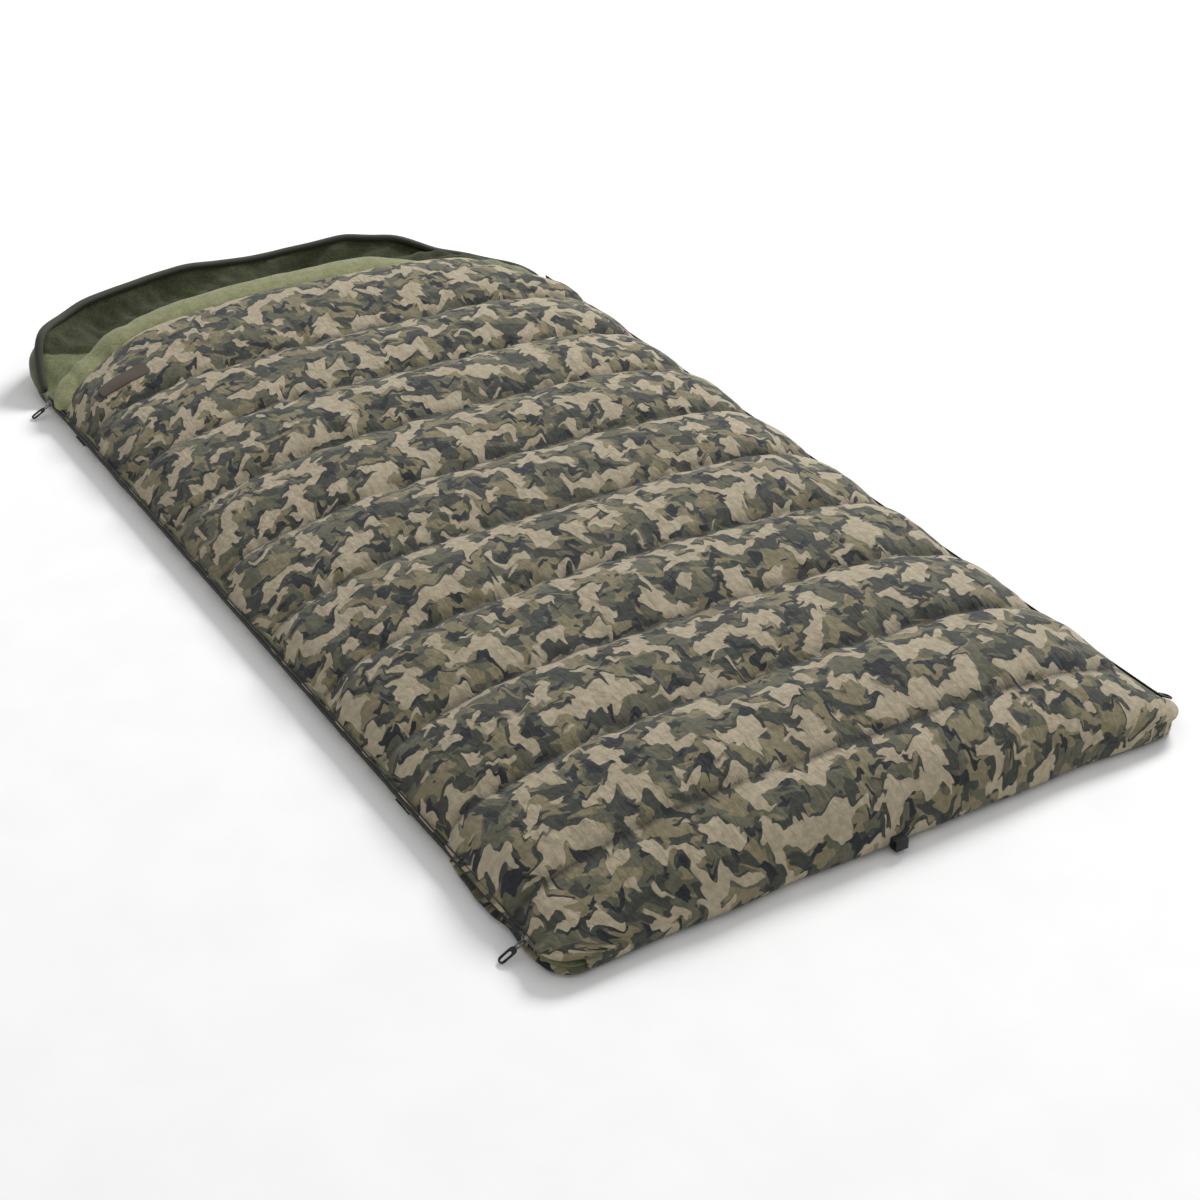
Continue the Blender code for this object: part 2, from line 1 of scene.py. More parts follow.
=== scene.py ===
"""Looks of a rectangular bedchair sleeping bag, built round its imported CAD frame.

Metres, +Z up, in the CAD's own frame: +Y runs from the foot to the hood. The cover's head half folds
back on its middle seam, the hood lifts at its root, and the zips run along both sides.
"""

import json
import math

import bmesh
import bpy
import numpy as np
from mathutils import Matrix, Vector, noise
from mathutils.bvhtree import BVHTree

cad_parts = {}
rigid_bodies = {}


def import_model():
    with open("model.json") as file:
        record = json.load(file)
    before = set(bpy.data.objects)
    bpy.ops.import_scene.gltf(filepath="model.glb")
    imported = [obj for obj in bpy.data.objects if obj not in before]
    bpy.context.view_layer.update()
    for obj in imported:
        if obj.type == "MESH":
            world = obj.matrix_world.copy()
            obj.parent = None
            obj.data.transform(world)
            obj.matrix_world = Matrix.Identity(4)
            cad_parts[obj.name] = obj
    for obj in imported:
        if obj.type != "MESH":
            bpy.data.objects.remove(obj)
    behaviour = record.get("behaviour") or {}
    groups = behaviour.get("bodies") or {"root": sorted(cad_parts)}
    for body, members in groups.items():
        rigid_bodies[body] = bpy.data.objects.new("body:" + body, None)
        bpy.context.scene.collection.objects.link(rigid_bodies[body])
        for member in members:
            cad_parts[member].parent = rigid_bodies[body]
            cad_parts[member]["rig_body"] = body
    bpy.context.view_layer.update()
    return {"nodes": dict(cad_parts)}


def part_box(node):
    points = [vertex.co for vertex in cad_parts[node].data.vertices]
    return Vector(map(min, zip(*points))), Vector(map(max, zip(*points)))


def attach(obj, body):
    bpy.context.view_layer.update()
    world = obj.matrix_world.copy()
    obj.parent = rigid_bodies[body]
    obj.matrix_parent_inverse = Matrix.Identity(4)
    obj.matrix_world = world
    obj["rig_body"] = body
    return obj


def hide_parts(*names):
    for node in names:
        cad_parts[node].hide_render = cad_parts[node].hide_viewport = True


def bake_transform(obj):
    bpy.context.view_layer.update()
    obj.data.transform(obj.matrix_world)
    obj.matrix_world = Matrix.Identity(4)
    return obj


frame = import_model()

# Places read from the frame
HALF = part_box("base_outer_shell")[1].x
FOOT_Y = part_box("base_outer_shell")[0].y
HOOD_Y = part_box("hood_shell_floor")[1].y
ROOT_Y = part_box("base_outer_shell")[1].y
WALL_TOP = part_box("base_zip_left")[0].z + 0.003
RIM_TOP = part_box("hood_rim_binding")[1].z
LINING_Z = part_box("base_fleece_lining")[1].z
CROWN_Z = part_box("cover_shell_head")[1].z
SEAMS = [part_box(f"cover_fill_{i:02d}")[1].y + 0.003 for i in range(1, 10)]
HEAD_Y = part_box("cover_shell_head")[1].y
ZIP_Z = (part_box("base_zip_left")[1].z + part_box("cover_zip_head_left")[0].z) / 2
ZIP_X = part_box("base_zip_right")[0].x
ZIP_LOW, ZIP_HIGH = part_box("base_zip_left")[0].y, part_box("base_zip_left")[1].y
FOLDING_FILLINGS = (6, 7)  # the channels on either side of the fold

# Forms that the frame's plain solids only box in
SHOULDER_Y = 0.825  # where the straight sides turn into the hood's half ellipse
FOOT_CORNER = 0.045
SEAM_Z = 0.103
EDGE_Z = 0.030
HEAD_EDGE_Z = 0.122
CORNER_SLUMP = (0.30, 0.48)  # how much lower the cover is at its left and right head corners
HEAD_CORNER = 0.115  # how far the cover's head edge curves back at its corners
SLOPE_END_Y = SHOULDER_Y - 0.06  # the cover's sides slope to the zips up to its head edge
HEM_Z = 0.0012  # lower edge of the base's outer fabric
ZIP_EDGE_Z = ZIP_Z + 0.0052  # where the cover meets its zips' upper tapes
BULGE_Y = (-1.02, -0.95, -0.85, -0.70, 0.30, 0.40, 0.50, 0.70, 0.80, 0.9)
LEFT_BULGE = (0.006, 0.012, 0.014, 0.003, 0.001, 0.005, 0.0, 0.0, 0.010, 0.004)
RIGHT_BULGE = 0.002
SLUMP_X = (-0.515, -0.36, -0.15, 0.05, 0.20, 0.30, 0.38, 0.46, HALF)
RIM_SLUMP = (0.002, -0.007, -0.003, 0.013, 0.002, 0.014, 0.050, 0.068, 0.072)
FABRIC, FLOOR_FABRIC, FLEECE = 0.0010, 0.0007, 0.0016  # thicknesses
WELD = 2e-4  # points of a sheet's middle that are nearer than this become one
SEED = 7


def fractal(x, y, z=0.0, scale=1.0, octaves=2):
    """Smooth noise from -1 to 1 at a point; scale is its wavelength in metres."""
    return noise.fractal(Vector((x / scale, y / scale, z / scale + SEED)), 1.0, 2.0, octaves)


def fractals(xs, ys, z=0.0, scale=1.0, octaves=2):
    """The same noise at many points."""
    xs, ys = np.broadcast_arrays(xs, ys)
    values = [fractal(x, y, z, scale, octaves) for x, y in zip(xs.ravel(), ys.ravel())]
    return np.array(values).reshape(xs.shape)


def smooth(low, high, value):
    """0 up to low and 1 from high, with a soft step between."""
    t = np.clip((value - low) / (high - low), 0, 1)
    return t * t * (3 - 2 * t)


# Mesh making


def linked(name, data):
    """A new object in the scene."""
    obj = bpy.data.objects.new(name, data)
    bpy.context.scene.collection.objects.link(obj)
    return obj


def run_along(points):
    """The distance along a line of points, from its start to each of them."""
    return np.concatenate([[0], np.cumsum(np.linalg.norm(np.diff(points, axis=0), axis=1))])


def surface(name, points, flat=None, close_rows=False, close_columns=False):
    """A mesh from rows x columns of points; flat holds the cloth's own coordinates, in metres."""
    points = np.asarray(points, float)
    rows, columns = points.shape[:2]
    last_row = rows if close_rows else rows - 1
    last_column = columns if close_columns else columns - 1
    r, c = np.meshgrid(np.arange(last_row), np.arange(last_column), indexing="ij")
    r, c = r.ravel(), c.ravel()
    r1, c1 = (r + 1) % rows, (c + 1) % columns
    faces = np.stack([r * columns + c, r * columns + c1, r1 * columns + c1, r1 * columns + c], axis=1)
    mesh = bpy.data.meshes.new(name)
    mesh.from_pydata(points.reshape(-1, 3).tolist(), [], faces.tolist())
    if flat is not None:
        layer = mesh.uv_layers.new(name="cloth")
        index = np.empty(len(mesh.loops), int)
        mesh.loops.foreach_get("vertex_index", index)
        layer.data.foreach_set("uv", np.asarray(flat, float).reshape(-1, 2)[index].ravel())
    mesh.update()
    return linked(name, mesh)


def apply_all(obj):
    """Replaces the object's mesh by its evaluated one and clears the modifiers."""
    graph = bpy.context.evaluated_depsgraph_get()
    mesh = bpy.data.meshes.new_from_object(obj.evaluated_get(graph))
    obj.modifiers.clear()
    obj.data = mesh
    return obj


def refine(obj, levels=1, thick=0.0, offset=-1.0):
    """Subdivides, then gives the cloth its thickness."""
    if levels:
        modifier = obj.modifiers.new("round", "SUBSURF")
        modifier.levels = modifier.render_levels = levels
    if thick:
        modifier = obj.modifiers.new("thick", "SOLIDIFY")
        modifier.thickness = thick
        modifier.offset = offset
        modifier.use_even_offset = False
    apply_all(obj)
    shade_smooth(obj)
    return obj


def shade_smooth(obj):
    obj.data.polygons.foreach_set("use_smooth", [True] * len(obj.data.polygons))
    obj.data.update()


def edit(obj, change):
    """Makes one change to the object's mesh in its editable form."""
    bm = bmesh.new()
    bm.from_mesh(obj.data)
    change(bm)
    bm.to_mesh(obj.data)
    bm.free()
    return obj


def turn_outward(bm):
    bmesh.ops.recalc_face_normals(bm, faces=bm.faces)


def fill_holes(bm):
    edges = [edge for edge in bm.edges if edge.is_boundary]
    bmesh.ops.holes_fill(bm, edges=edges, sides=0)
    turn_outward(bm)


def outward(obj):
    """Turns every face outwards."""
    return edit(obj, turn_outward)


def close_ends(obj):
    return edit(obj, fill_holes)


def weld(obj, distance=WELD):
    return edit(obj, lambda bm: bmesh.ops.remove_doubles(bm, verts=bm.verts, dist=distance))


def surface_tree(obj):
    """The object's faces, ready for finding where a line meets them."""
    corners = [v.co.copy() for v in obj.data.vertices]
    return BVHTree.FromPolygons(corners, [tuple(p.vertices) for p in obj.data.polygons])


def drop_onto(tree, x, y):
    """Where a line straight down at x, y first meets a surface, and the normal there."""
    place, normal, _, _ = tree.ray_cast(Vector((x, y, 1)), Vector((0, 0, -1)))
    return place, normal


# The bag's outline in plan


def half_at(y, half=HALF):
    """Half width at y: rounded foot corners, straight sides, then the hood's half ellipse."""
    inset = HALF - half
    if y > SHOULDER_Y:
        reach = (y - SHOULDER_Y) / (HOOD_Y - SHOULDER_Y - inset)
        return half * math.sqrt(max(0.0, 1 - reach * reach))
    into = FOOT_Y + FOOT_CORNER - y
    if into > 0:
        radius = FOOT_CORNER
        return half - radius + math.sqrt(max(0.0, radius * radius - into * into))
    return half


def outline(count=520):
    """Points round the bag in plan, anticlockwise from the middle of the foot; outward ways; distances."""
    corner, reach = FOOT_CORNER, HOOD_Y - SHOULDER_Y
    turns = np.linspace(0, math.pi / 2, 12)
    arc = [(HALF - corner * (1 - math.sin(a)), FOOT_Y + corner * (1 - math.cos(a))) for a in turns]
    turns = np.linspace(0, math.pi / 2, 60)
    ellipse = [(HALF * math.cos(a), SHOULDER_Y + reach * math.sin(a)) for a in turns]
    right = np.array([(0, FOOT_Y), *arc, *ellipse])
    loop = np.concatenate([right, (right * (-1, 1))[::-1][1:]])
    length = run_along(loop)
    at = np.arange(count) / count * length[-1]
    points = np.stack([np.interp(at, length, loop[:, k]) for k in (0, 1)], axis=1)
    along = np.roll(points, -1, axis=0) - np.roll(points, 1, axis=0)
    along /= np.linalg.norm(along, axis=1)[:, None]
    return points, np.stack([along[:, 1], -along[:, 0]], axis=1), at


def foot_wave(x, y):
    """How far the foot edge is drawn in, unevenly, along its middle."""
    wave = 0.5 + 0.5 * fractals(np.atleast_1d(x), 70.0, scale=0.20)
    middle = 1 - smooth(0.32, 0.47, np.abs(x))
    return 0.011 * wave * middle * smooth(FOOT_Y + 0.07, FOOT_Y, y)


RIM, RIM_OUT, RIM_AT = outline()
RIM[:, 1] += foot_wave(RIM[:, 0], RIM[:, 1])
RIM_X, RIM_Y = RIM[:, 0], RIM[:, 1]
RISE = smooth(0.765, 0.90, RIM_Y)  # how far the edge has become the hood's rim
BINDING_INSET = 0.019
TOP_Z = RIM_TOP - 0.006


def seam_pull(y):
    """1 on a quilt seam's end, 0 between them."""
    return np.sum([np.exp(-(((y - seam) / 0.020) ** 2)) for seam in SEAMS], axis=0)


def side_bulge(x, y):
    """How far the sides stand out past the straight zip line."""
    left = np.interp(y, BULGE_Y, LEFT_BULGE)
    bulge = np.where(x < 0, left, RIGHT_BULGE) - 0.007 * seam_pull(y) * (y < 0.72)
    return bulge * smooth(0.42, 0.50, np.abs(x))


def rim_wave(at):
    """Small irregular waves of the hood's rim: (inwards, upwards)."""
    inwards = fractals(at, 1.0, scale=0.16)
    upwards = fractals(at, 5.0, scale=0.13)
    return 0.006 * RISE * inwards, 0.006 * RISE * upwards - 0.004 * RISE


WAVE_IN, WAVE_UP = rim_wave(RIM_AT)


def edge_inset():
    """The top edge of the base and hood wall, set in from the outline."""
    return (BINDING_INSET + WAVE_IN) * RISE + 0.0006 * (1 - RISE)


def edge_height():
    """The zip's height along the sides; the hood's rim dips in its middle and slumps at its right end."""
    slump = np.interp(RIM_X, SLUMP_X, RIM_SLUMP)
    return (WALL_TOP - 0.0012) * (1 - RISE) + (TOP_Z + WAVE_UP - slump) * RISE


EDGE_IN, EDGE_UP = edge_inset(), edge_height()
FLOOR_TUCK = 0.004 + 0.018 * (1 - RISE) * smooth(FOOT_Y + 0.01, FOOT_Y + 0.06, RIM_Y)


def wall_points(steps=12):
    """The outside of the base and hood: rows from the floor edge up to the zip or the rim."""
    rows, flat = [], []
    bulge = side_bulge(RIM_X, RIM_Y) * (1 - RISE)
    for step in np.linspace(0, 1, steps):
        side = 0.001 + 0.002 * smooth(FOOT_Y, FOOT_Y + 0.07, RIM_Y)
        out = (side * (1 - RISE) + 0.013 * RISE + bulge) * math.sin(math.pi * min(1, step * 1.02)) ** 0.8
        out = out - FLOOR_TUCK * (1 - step) ** 1.4 - EDGE_IN * step**2.2
        height = HEM_Z + (EDGE_UP - HEM_Z) * step
        folds = fractals(RIM_AT * (1 + 0.6 * step), step * 0.06, 2.0, scale=0.07, octaves=3)
        out = out + folds * (0.0030 * (1 - RISE) + 0.0075 * RISE) * math.sin(math.pi * step)
        rows.append(np.stack([RIM_X + RIM_OUT[:, 0] * out, RIM_Y + RIM_OUT[:, 1] * out, height], axis=1))
        flat.append(np.stack([RIM_AT, height * 1.1 + 3.0], axis=1))
    return np.array(rows), np.array(flat)


INNER_RINGS = (0, 0.004, 0.010, 0.018, 0.028, 0.040, 0.054, 0.070, 0.090, 0.120, 0.155)
INNER_SHARES = (0.07, 0.14, 0.21, 0.28, 0.35, 0.42, 0.49, 0.56, 0.63, 0.70, 0.77, 0.84, 0.92, 1.0)
INNER_STEPS = [*((d, 0) for d in INNER_RINGS), *((INNER_RINGS[-1], s) for s in INNER_SHARES)]
SPINE = (-0.70, 0.72)


def ring_place(distance, share):
    """Points a distance in from the outline along the way to the spine, then a share of what is left."""
    spine = np.stack([RIM_X * 0, np.clip(RIM_Y, *SPINE)], axis=1)
    way = spine - RIM
    length = np.linalg.norm(way, axis=1)
    reach = distance + (length - distance) * share
    return RIM + way * (reach / length)[:, None]


def slope_height(x, y, low, high):
    """The inner layers: flat in the middle, sloping to the zips and the foot, full again at the head."""
    side = np.interp(np.abs(x), (0.36, HALF), (1, 0))
    side = side + (1 - side) * smooth(0.77, ROOT_Y, y)
    foot = np.interp(y, (FOOT_Y, SEAMS[0]), (0, 1))
    return low + (high - low) * side * foot


def quilt(y, depth):
    """Shallow puffs between the seams."""
    lines = [FOOT_Y, *SEAMS, HEAD_Y + 0.02]
    low = np.interp(y, lines, np.arange(len(lines)))
    across = low - np.floor(low)
    return depth * np.sqrt(np.clip(1 - (2 * across - 1) ** 2, 0, 1)) * (y < HEAD_Y + 0.02)


def lining_points(drop=0.0):
    """The fleece from the zips and the rim to the middle of the bag, lying on the wadding."""
    rows, flat = [], []
    for distance, share in INNER_STEPS:
        start = np.maximum(distance, 0) + EDGE_IN * max(0, 1 - distance / 0.03)
        place = ring_place(start, share)
        x, y = place[:, 0], place[:, 1]
        flat_height = slope_height(x, y, WALL_TOP, LINING_Z - 0.002) + quilt(y, 0.0035) * (1 - RISE)
        inside = start - EDGE_IN
        hood = np.interp(inside, (0, 0.008, 0.018, 0.030, 0.046, 0.070), (1, 0.93, 0.72, 0.42, 0.16, 0.0))
        height = np.maximum(flat_height, LINING_Z * RISE) * (1 - hood * RISE) + EDGE_UP * hood * RISE
        if distance == 0 and share == 0:
            height = EDGE_UP
        weight = smooth(0.002, 0.030, inside) * (1 - smooth(0.12, 0.22, inside + share)) * RISE
        depth = inside + share * 0.3
        creases = fractals(RIM_AT * 1.4 - depth * 2.5, depth * 1.5, 4.0, scale=0.065, octaves=3)
        soft = fractals(x, y, 6.0, scale=0.16)
        height = height + creases * 0.019 * weight + soft * 0.0022 * smooth(0.02, 0.1, inside + share)
        height = height - drop * (1 + 1.3 * RISE) * smooth(0, 0.012, inside)
        rows.append(np.stack([x, y, height], axis=1))
        flat.append(place)
    return np.array(rows), np.array(flat)


def under_points():
    """The floor side of the base and hood, with shallow quilting."""
    rows, flat = [], []
    for distance, share in INNER_STEPS:
        place = ring_place(distance + FLOOR_TUCK, share)
        x, y = place[:, 0], place[:, 1]
        inner = smooth(0, 0.1, distance + share)
        lift = HEM_Z - 0.0008 * smooth(0, 0.03, distance + share) + 0.0016 * seam_pull(y) * inner
        rows.append(np.stack([x, y, lift], axis=1))
        flat.append(place + (0, 5))
    return np.array(rows), np.array(flat)


def build_base_outside():
    """The hood's wall, the side band round the rest of the base, and the underside."""
    points, flat = wall_points()
    count = len(RIM_AT)
    right = int(np.argmax(RIM_Y > 0.80))
    left = count - right
    hood = surface("hood_outer_fabric", points[:, right : left + 1], flat[:, right : left + 1])
    refine(hood, 1, FABRIC)
    order = [*range(left, count), *range(0, right + 1)]
    side_flat = flat[:, order].copy()
    side_flat[..., 0] = [RIM_AT[i] - (RIM_AT[-1] + RIM_AT[1] if i >= left else 0) for i in order]
    band = surface("base_side_fabric", points[:, order], side_flat)
    refine(band, 1, FABRIC)
    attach(band, "base")
    under = surface("underside_fabric", *under_points(), close_columns=True)
    weld(under)
    refine(under, 0, FLOOR_FABRIC)
    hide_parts("hood_shell_rim", "hood_shell_floor")
    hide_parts("base_outer_shell")
    return hood, band, under


def build_base_inside():
    points, flat = lining_points()
    lining = surface("base_and_hood_fleece", points, flat, close_columns=True)
    weld(lining)
    refine(lining, 1, FLEECE)
    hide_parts("base_fleece_lining", "hood_fleece_lining", "hood_rim_lining")
    return lining


WADDING_DROP = 0.0100
WADDING_FLOOR = 0.0060
UNDERCUT_ROWS = 5


def build_base_wadding():
    """One filling under the fleece. At the rim's slumped right end its top sinks below its bottom."""
    top, _ = lining_points(drop=WADDING_DROP)
    top = top[1:]
    bottom = top.copy()
    bottom[..., 2] = WADDING_FLOOR
    for row in range(UNDERCUT_ROWS):
        bottom[row, :, :2] += (top[UNDERCUT_ROWS] - top[row])[:, :2] * 0.75
    ring = np.concatenate([top[::-1], bottom])
    filling = surface("base_and_hood_wadding", ring, ring[..., :2], close_columns=True)
    weld(filling)
    outward(filling)
    shade_smooth(filling)
    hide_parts("base_fill", "hood_fill", "hood_rim_fill")
    return filling


def tube(name, path, radius, sides=12, squash=(1.0, 1.0)):
    """A tube through points; radius is one number or one for each point, squash scales it across and up."""
    path = np.asarray(path, float)
    radius = np.broadcast_to(radius, len(path))
    along = np.gradient(path, axis=0)
    along /= np.linalg.norm(along, axis=1)[:, None]
    across = np.cross(along, (0, 0, 1.0))
    across /= np.maximum(np.linalg.norm(across, axis=1), 1e-6)[:, None]
    up = np.cross(across, along)
    length = run_along(path)
    turns = np.linspace(0, 2 * math.pi, sides, endpoint=False)
    wide = np.cos(turns)[None, :, None] * across[:, None] * squash[0]
    tall = np.sin(turns)[None, :, None] * up[:, None] * squash[1]
    points = path[:, None] + radius[:, None, None] * (wide + tall)
    flat = np.stack(np.broadcast_arrays(turns[None] * radius[:, None], length[:, None]), axis=2)
    return close_ends(surface(name, points, flat, close_columns=True))


def rim_path(low_y):
    """The hood's rim from the right end round to the left, from every second point of the outline."""
    index = [i for i in range(0, len(RIM_AT), 2) if RIM_Y[i] > low_y]
    place = RIM - RIM_OUT * EDGE_IN[:, None]
    return np.array([(*place[i], EDGE_UP[i] + 0.003 * RISE[i]) for i in index])


def build_rim():
    """The rim's binding and the drawcord inside it."""
    binding = tube("hood_rim_tape", rim_path(0.79), 0.0082, 12, squash=(1.0, 0.85))
    refine(binding, 1)
    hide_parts("hood_rim_binding")
    cord = tube("hood_draw_cord", rim_path(0.80), 0.0018, 8)
    refine(cord, 0)
    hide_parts("hood_drawcord")
    return binding, cord


# The cover


def arc_resample(x, y, spacing):
    length = np.concatenate([[0], np.cumsum(np.hypot(np.diff(x), np.diff(y)))])
    count = max(2, round(length[-1] / spacing))
    at = np.linspace(0, length[-1], count + 1)
    return np.interp(at, length, x), np.interp(at, length, y)


def side_fall(share, puff=0.0):
    """The section across the cover, from 1 in the middle to 0 at the zips; a puff makes it fuller."""
    return (1 - np.clip(np.abs(share), 0, 1) ** (3.2 + 1.1 * puff)) ** (0.75 - 0.11 * puff)


def cover_columns(spacing):
    """Shares of the half width, evenly spaced along the fabric of the cover's section."""
    share = np.linspace(0, 1, 400)
    right, _ = arc_resample(share, side_fall(share) * (0.125 - EDGE_Z) / HALF, spacing / HALF)
    return np.concatenate([-right[::-1], right[1:]])


def seam_wander(share, y):
    """How far a seam, and the fabric beside it, strays from a straight line across the bag."""
    return 0.004 * fractal(share * HALF, y, 3.0, scale=0.35) * (1 - float(smooth(0.90, 1.0, abs(share))))


def cover_rows(spacing, rise):
    """(y, ridge height, is a seam) from the foot's lower edge to the head edge."""
    hem = ((0.0045, 0.0085, True), (0.0065, 0.0170, True), (0.0065, 0.0260, False))
    rows = [(FOOT_Y - out, z, held) for out, z, held in hem]
    step = np.linspace(0, 1, 200)
    toe, toe_z = 0.0055, 0.034
    up = toe_z + (SEAM_Z - toe_z) * (1 - (1 - step) ** 2.2) ** 0.6
    y, z = arc_resample(FOOT_Y - toe + (SEAMS[0] - FOOT_Y + toe) * step, up, spacing)
    rows += [(a, b, False) for a, b in zip(y, z)]
    rows[-1] = (*rows[-1][:2], True)
    lines = [*SEAMS, HEAD_Y]
    for low, high in zip(lines[:-1], lines[1:]):
        seam = SEAM_Z + (HEAD_EDGE_Z - SEAM_Z) * step * (high == HEAD_Y)
        ridge = seam + (CROWN_Z - seam) * rise * np.sqrt(1 - (2 * step - 1) ** 2)
        y, z = arc_resample(low + (high - low) * step, ridge, spacing)
        rows += [(a, b, False) for a, b in zip(y[1:], z[1:])]
        rows[-1] = (*rows[-1][:2], True)
    turned = ((0.0030, 0.010), (0.0036, 0.028), (0.0030, 0.048))
    return rows + [(HEAD_Y + out, HEAD_EDGE_Z - down, True) for out, down in turned]


def head_curve(share, y):
    """Where the row at y runs: the last channel curves back towards its corners."""
    across = np.clip((y - SEAMS[-1]) / (HEAD_Y - SEAMS[-1]), 0, 1)
    return y - HEAD_CORNER * np.where(share < 0, np.abs(share) ** 5, 1.2 * np.abs(share) ** 4) * across


def cover_point(share, y, ridge):
    """A point of the camouflage fabric at a share of the half width, on the row at y."""
    foot = y < SEAMS[0] - 1e-6
    fall = side_fall(share, float(quilt(np.array(y), 1.0)) * (1.0 if share > 0 else 0.3) * (not foot))
    corner = CORNER_SLUMP[int(share > 0)]
    fall *= 1 - corner * float(smooth(0.62, 0.80, y)) * float(smooth(0.60, 1.0, abs(share)))
    z = EDGE_Z + (ridge - EDGE_Z) * fall if ridge > EDGE_Z else ridge
    half = half_at(np.clip(y + 0.0045, FOOT_Y, SHOULDER_Y)) + 0.003 * float(smooth(FOOT_Y + 0.06, FOOT_Y, y))
    x = share * half
    side = float(smooth(0.90, 1.0, abs(share)))
    if y > FOOT_Y + 0.04:
        z = z * (1 - side) + min(z, ZIP_EDGE_Z + 0.02 * (1 - side)) * side
    bulge = float(side_bulge(x, y)) + 0.004
    shape = math.exp(-(((z - 0.052) / 0.026) ** 2)) * float(smooth(0.8, 0.95, abs(share)))
    x += math.copysign(bulge * shape, share)
    y = float(head_curve(share, y)) + (float(foot_wave(x, y)[0]) if foot else seam_wander(share, y))
    tuck = fractal(share * HALF, y, 9.0, scale=0.045, octaves=2)
    near = float(seam_pull(y))
    z += tuck * (0.0010 + 0.0022 * near) * fall
    z += 0.004 * fractal(share * HALF, y, 12.0, scale=0.30) * fall
    return x, y, z


def settle(obj, pinned, rest, pressure, frames):
    """Lets the fabric swell under pressure, cut to its rest shape and held where it is pinned."""
    scene = bpy.context.scene
    group = obj.vertex_groups.new(name="pinned")
    group.add([int(i) for i in pinned], 1.0, "REPLACE")
    obj.shape_key_add(name="Basis")
    key = obj.shape_key_add(name="cut")
    key.data.foreach_set("co", np.asarray(rest, np.float32).ravel())
    cloth = obj.modifiers.new("cloth", "CLOTH")
    settings = cloth.settings
    settings.quality = 6
    settings.mass = 0.25
    settings.tension_stiffness = 25
    settings.compression_stiffness = 25
    settings.shear_stiffness = 8
    settings.bending_stiffness = 0.35
    settings.air_damping = 2
    settings.vertex_group_mass = "pinned"
    settings.use_pressure = True
    settings.uniform_pressure_force = pressure
    settings.rest_shape_key = key
    settings.effector_weights.gravity = 0
    cloth.collision_settings.use_collision = False
    cloth.point_cache.frame_start = 1
    cloth.point_cache.frame_end = frames
    scene.frame_start, scene.frame_end = 1, frames
    for frame_number in range(1, frames + 1):
        scene.frame_set(frame_number)
    before = np.array([v.co for v in obj.data.vertices])
    apply_all(obj)
    obj.vertex_groups.clear()
    scene.frame_set(1)
    return before


def cap_move(obj, before, most):
    """Limits how far any point has moved."""
    now = np.array([v.co for v in obj.data.vertices])
    move = now - before
    length = np.linalg.norm(move, axis=1)
    move *= (np.minimum(length, most) / np.maximum(length, 1e-9))[:, None]
    obj.data.vertices.foreach_set("co", (before + move).ravel())
    obj.data.update()


def pucker(obj):
    """Small creases of the held fabric: they run away from the seams and fade towards each crown."""
    count = len(obj.data.vertices)
    co, normal = np.empty(count * 3), np.empty(count * 3)
    obj.data.vertices.foreach_get("co", co)
    obj.data.vertices.foreach_get("normal", normal)
    co, normal = co.reshape(-1, 3), normal.reshape(-1, 3)
    x, y = co[:, 0], co[:, 1]
    near = np.sum([np.exp(-(((y - seam) / 0.034) ** 2)) for seam in SEAMS], axis=0)
    held = 1 - smooth(0.93, 0.985, np.abs(x) / HALF)
    held *= smooth(FOOT_Y + 0.004, FOOT_Y + 0.03, y) * (1 - smooth(HEAD_Y - 0.05, HEAD_Y - 0.01, y))
    short = fractals(x, y * 0.30 + 0.010 * np.sin(40 * x), 60.0, scale=0.032)
    long = fractals(x * 0.8, y, 65.0, scale=0.085, octaves=3)
    move = (0.0040 * near * short + (0.0012 * short + 0.0042 * long) * (1 - 0.5 * near)) * held
    obj.data.vertices.foreach_set("co", (co + normal * move[:, None]).ravel())
    obj.data.update()


COVER_SPACING = 0.0115
CUT_WIDER, CUT_LONGER = 1.045, 1.050
PRESSURE, SETTLE_FRAMES, MOST_MOVE = 6.0, 26, 0.026


def build_cover_top():
    """The camouflage fabric, swollen between its seams."""
    columns = cover_columns(COVER_SPACING)
    rows = cover_rows(COVER_SPACING, 0.55)
    points = np.array([[cover_point(share, y, ridge) for share in columns] for y, ridge, _ in rows])
    middle = points[:, len(columns) // 2]
    section = points[len(rows) // 2]
    flat = np.stack(np.meshgrid(run_along(section), run_along(middle)), axis=2)
    top = surface("cover_top_fabric", points, flat)
    # crease is 1 on each quilt seam and fades within about a centimetre; the camouflage material paints shade
    # into the seam grooves by it.
    from_seam = np.array([row[0] for row in rows])[:, None] - np.array(SEAMS)
    crease = np.exp(-((from_seam / 0.0065) ** 2)).sum(axis=1)
    layer = top.data.attributes.new("crease", "FLOAT", "POINT")
    layer.data.foreach_set("value", np.repeat(crease, len(columns)))
    pinned = np.zeros(points.shape[:2], bool)
    pinned[[i for i, row in enumerate(rows) if row[2]]] = True
    pinned[:4] = True
    pinned[-1] = True
    pinned[:, [0, -1]] = True
    rest = points.copy()
    rest[..., 0] *= CUT_WIDER
    rest[..., 1] = (rest[..., 1] - FOOT_Y) * CUT_LONGER + FOOT_Y
    before = settle(top, np.flatnonzero(pinned.ravel()), rest, PRESSURE, SETTLE_FRAMES)
    cap_move(top, before, MOST_MOVE)
    pucker(top)
    refine(top, 1, FABRIC)
    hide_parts("cover_shell_foot", "cover_shell_head")
    return top


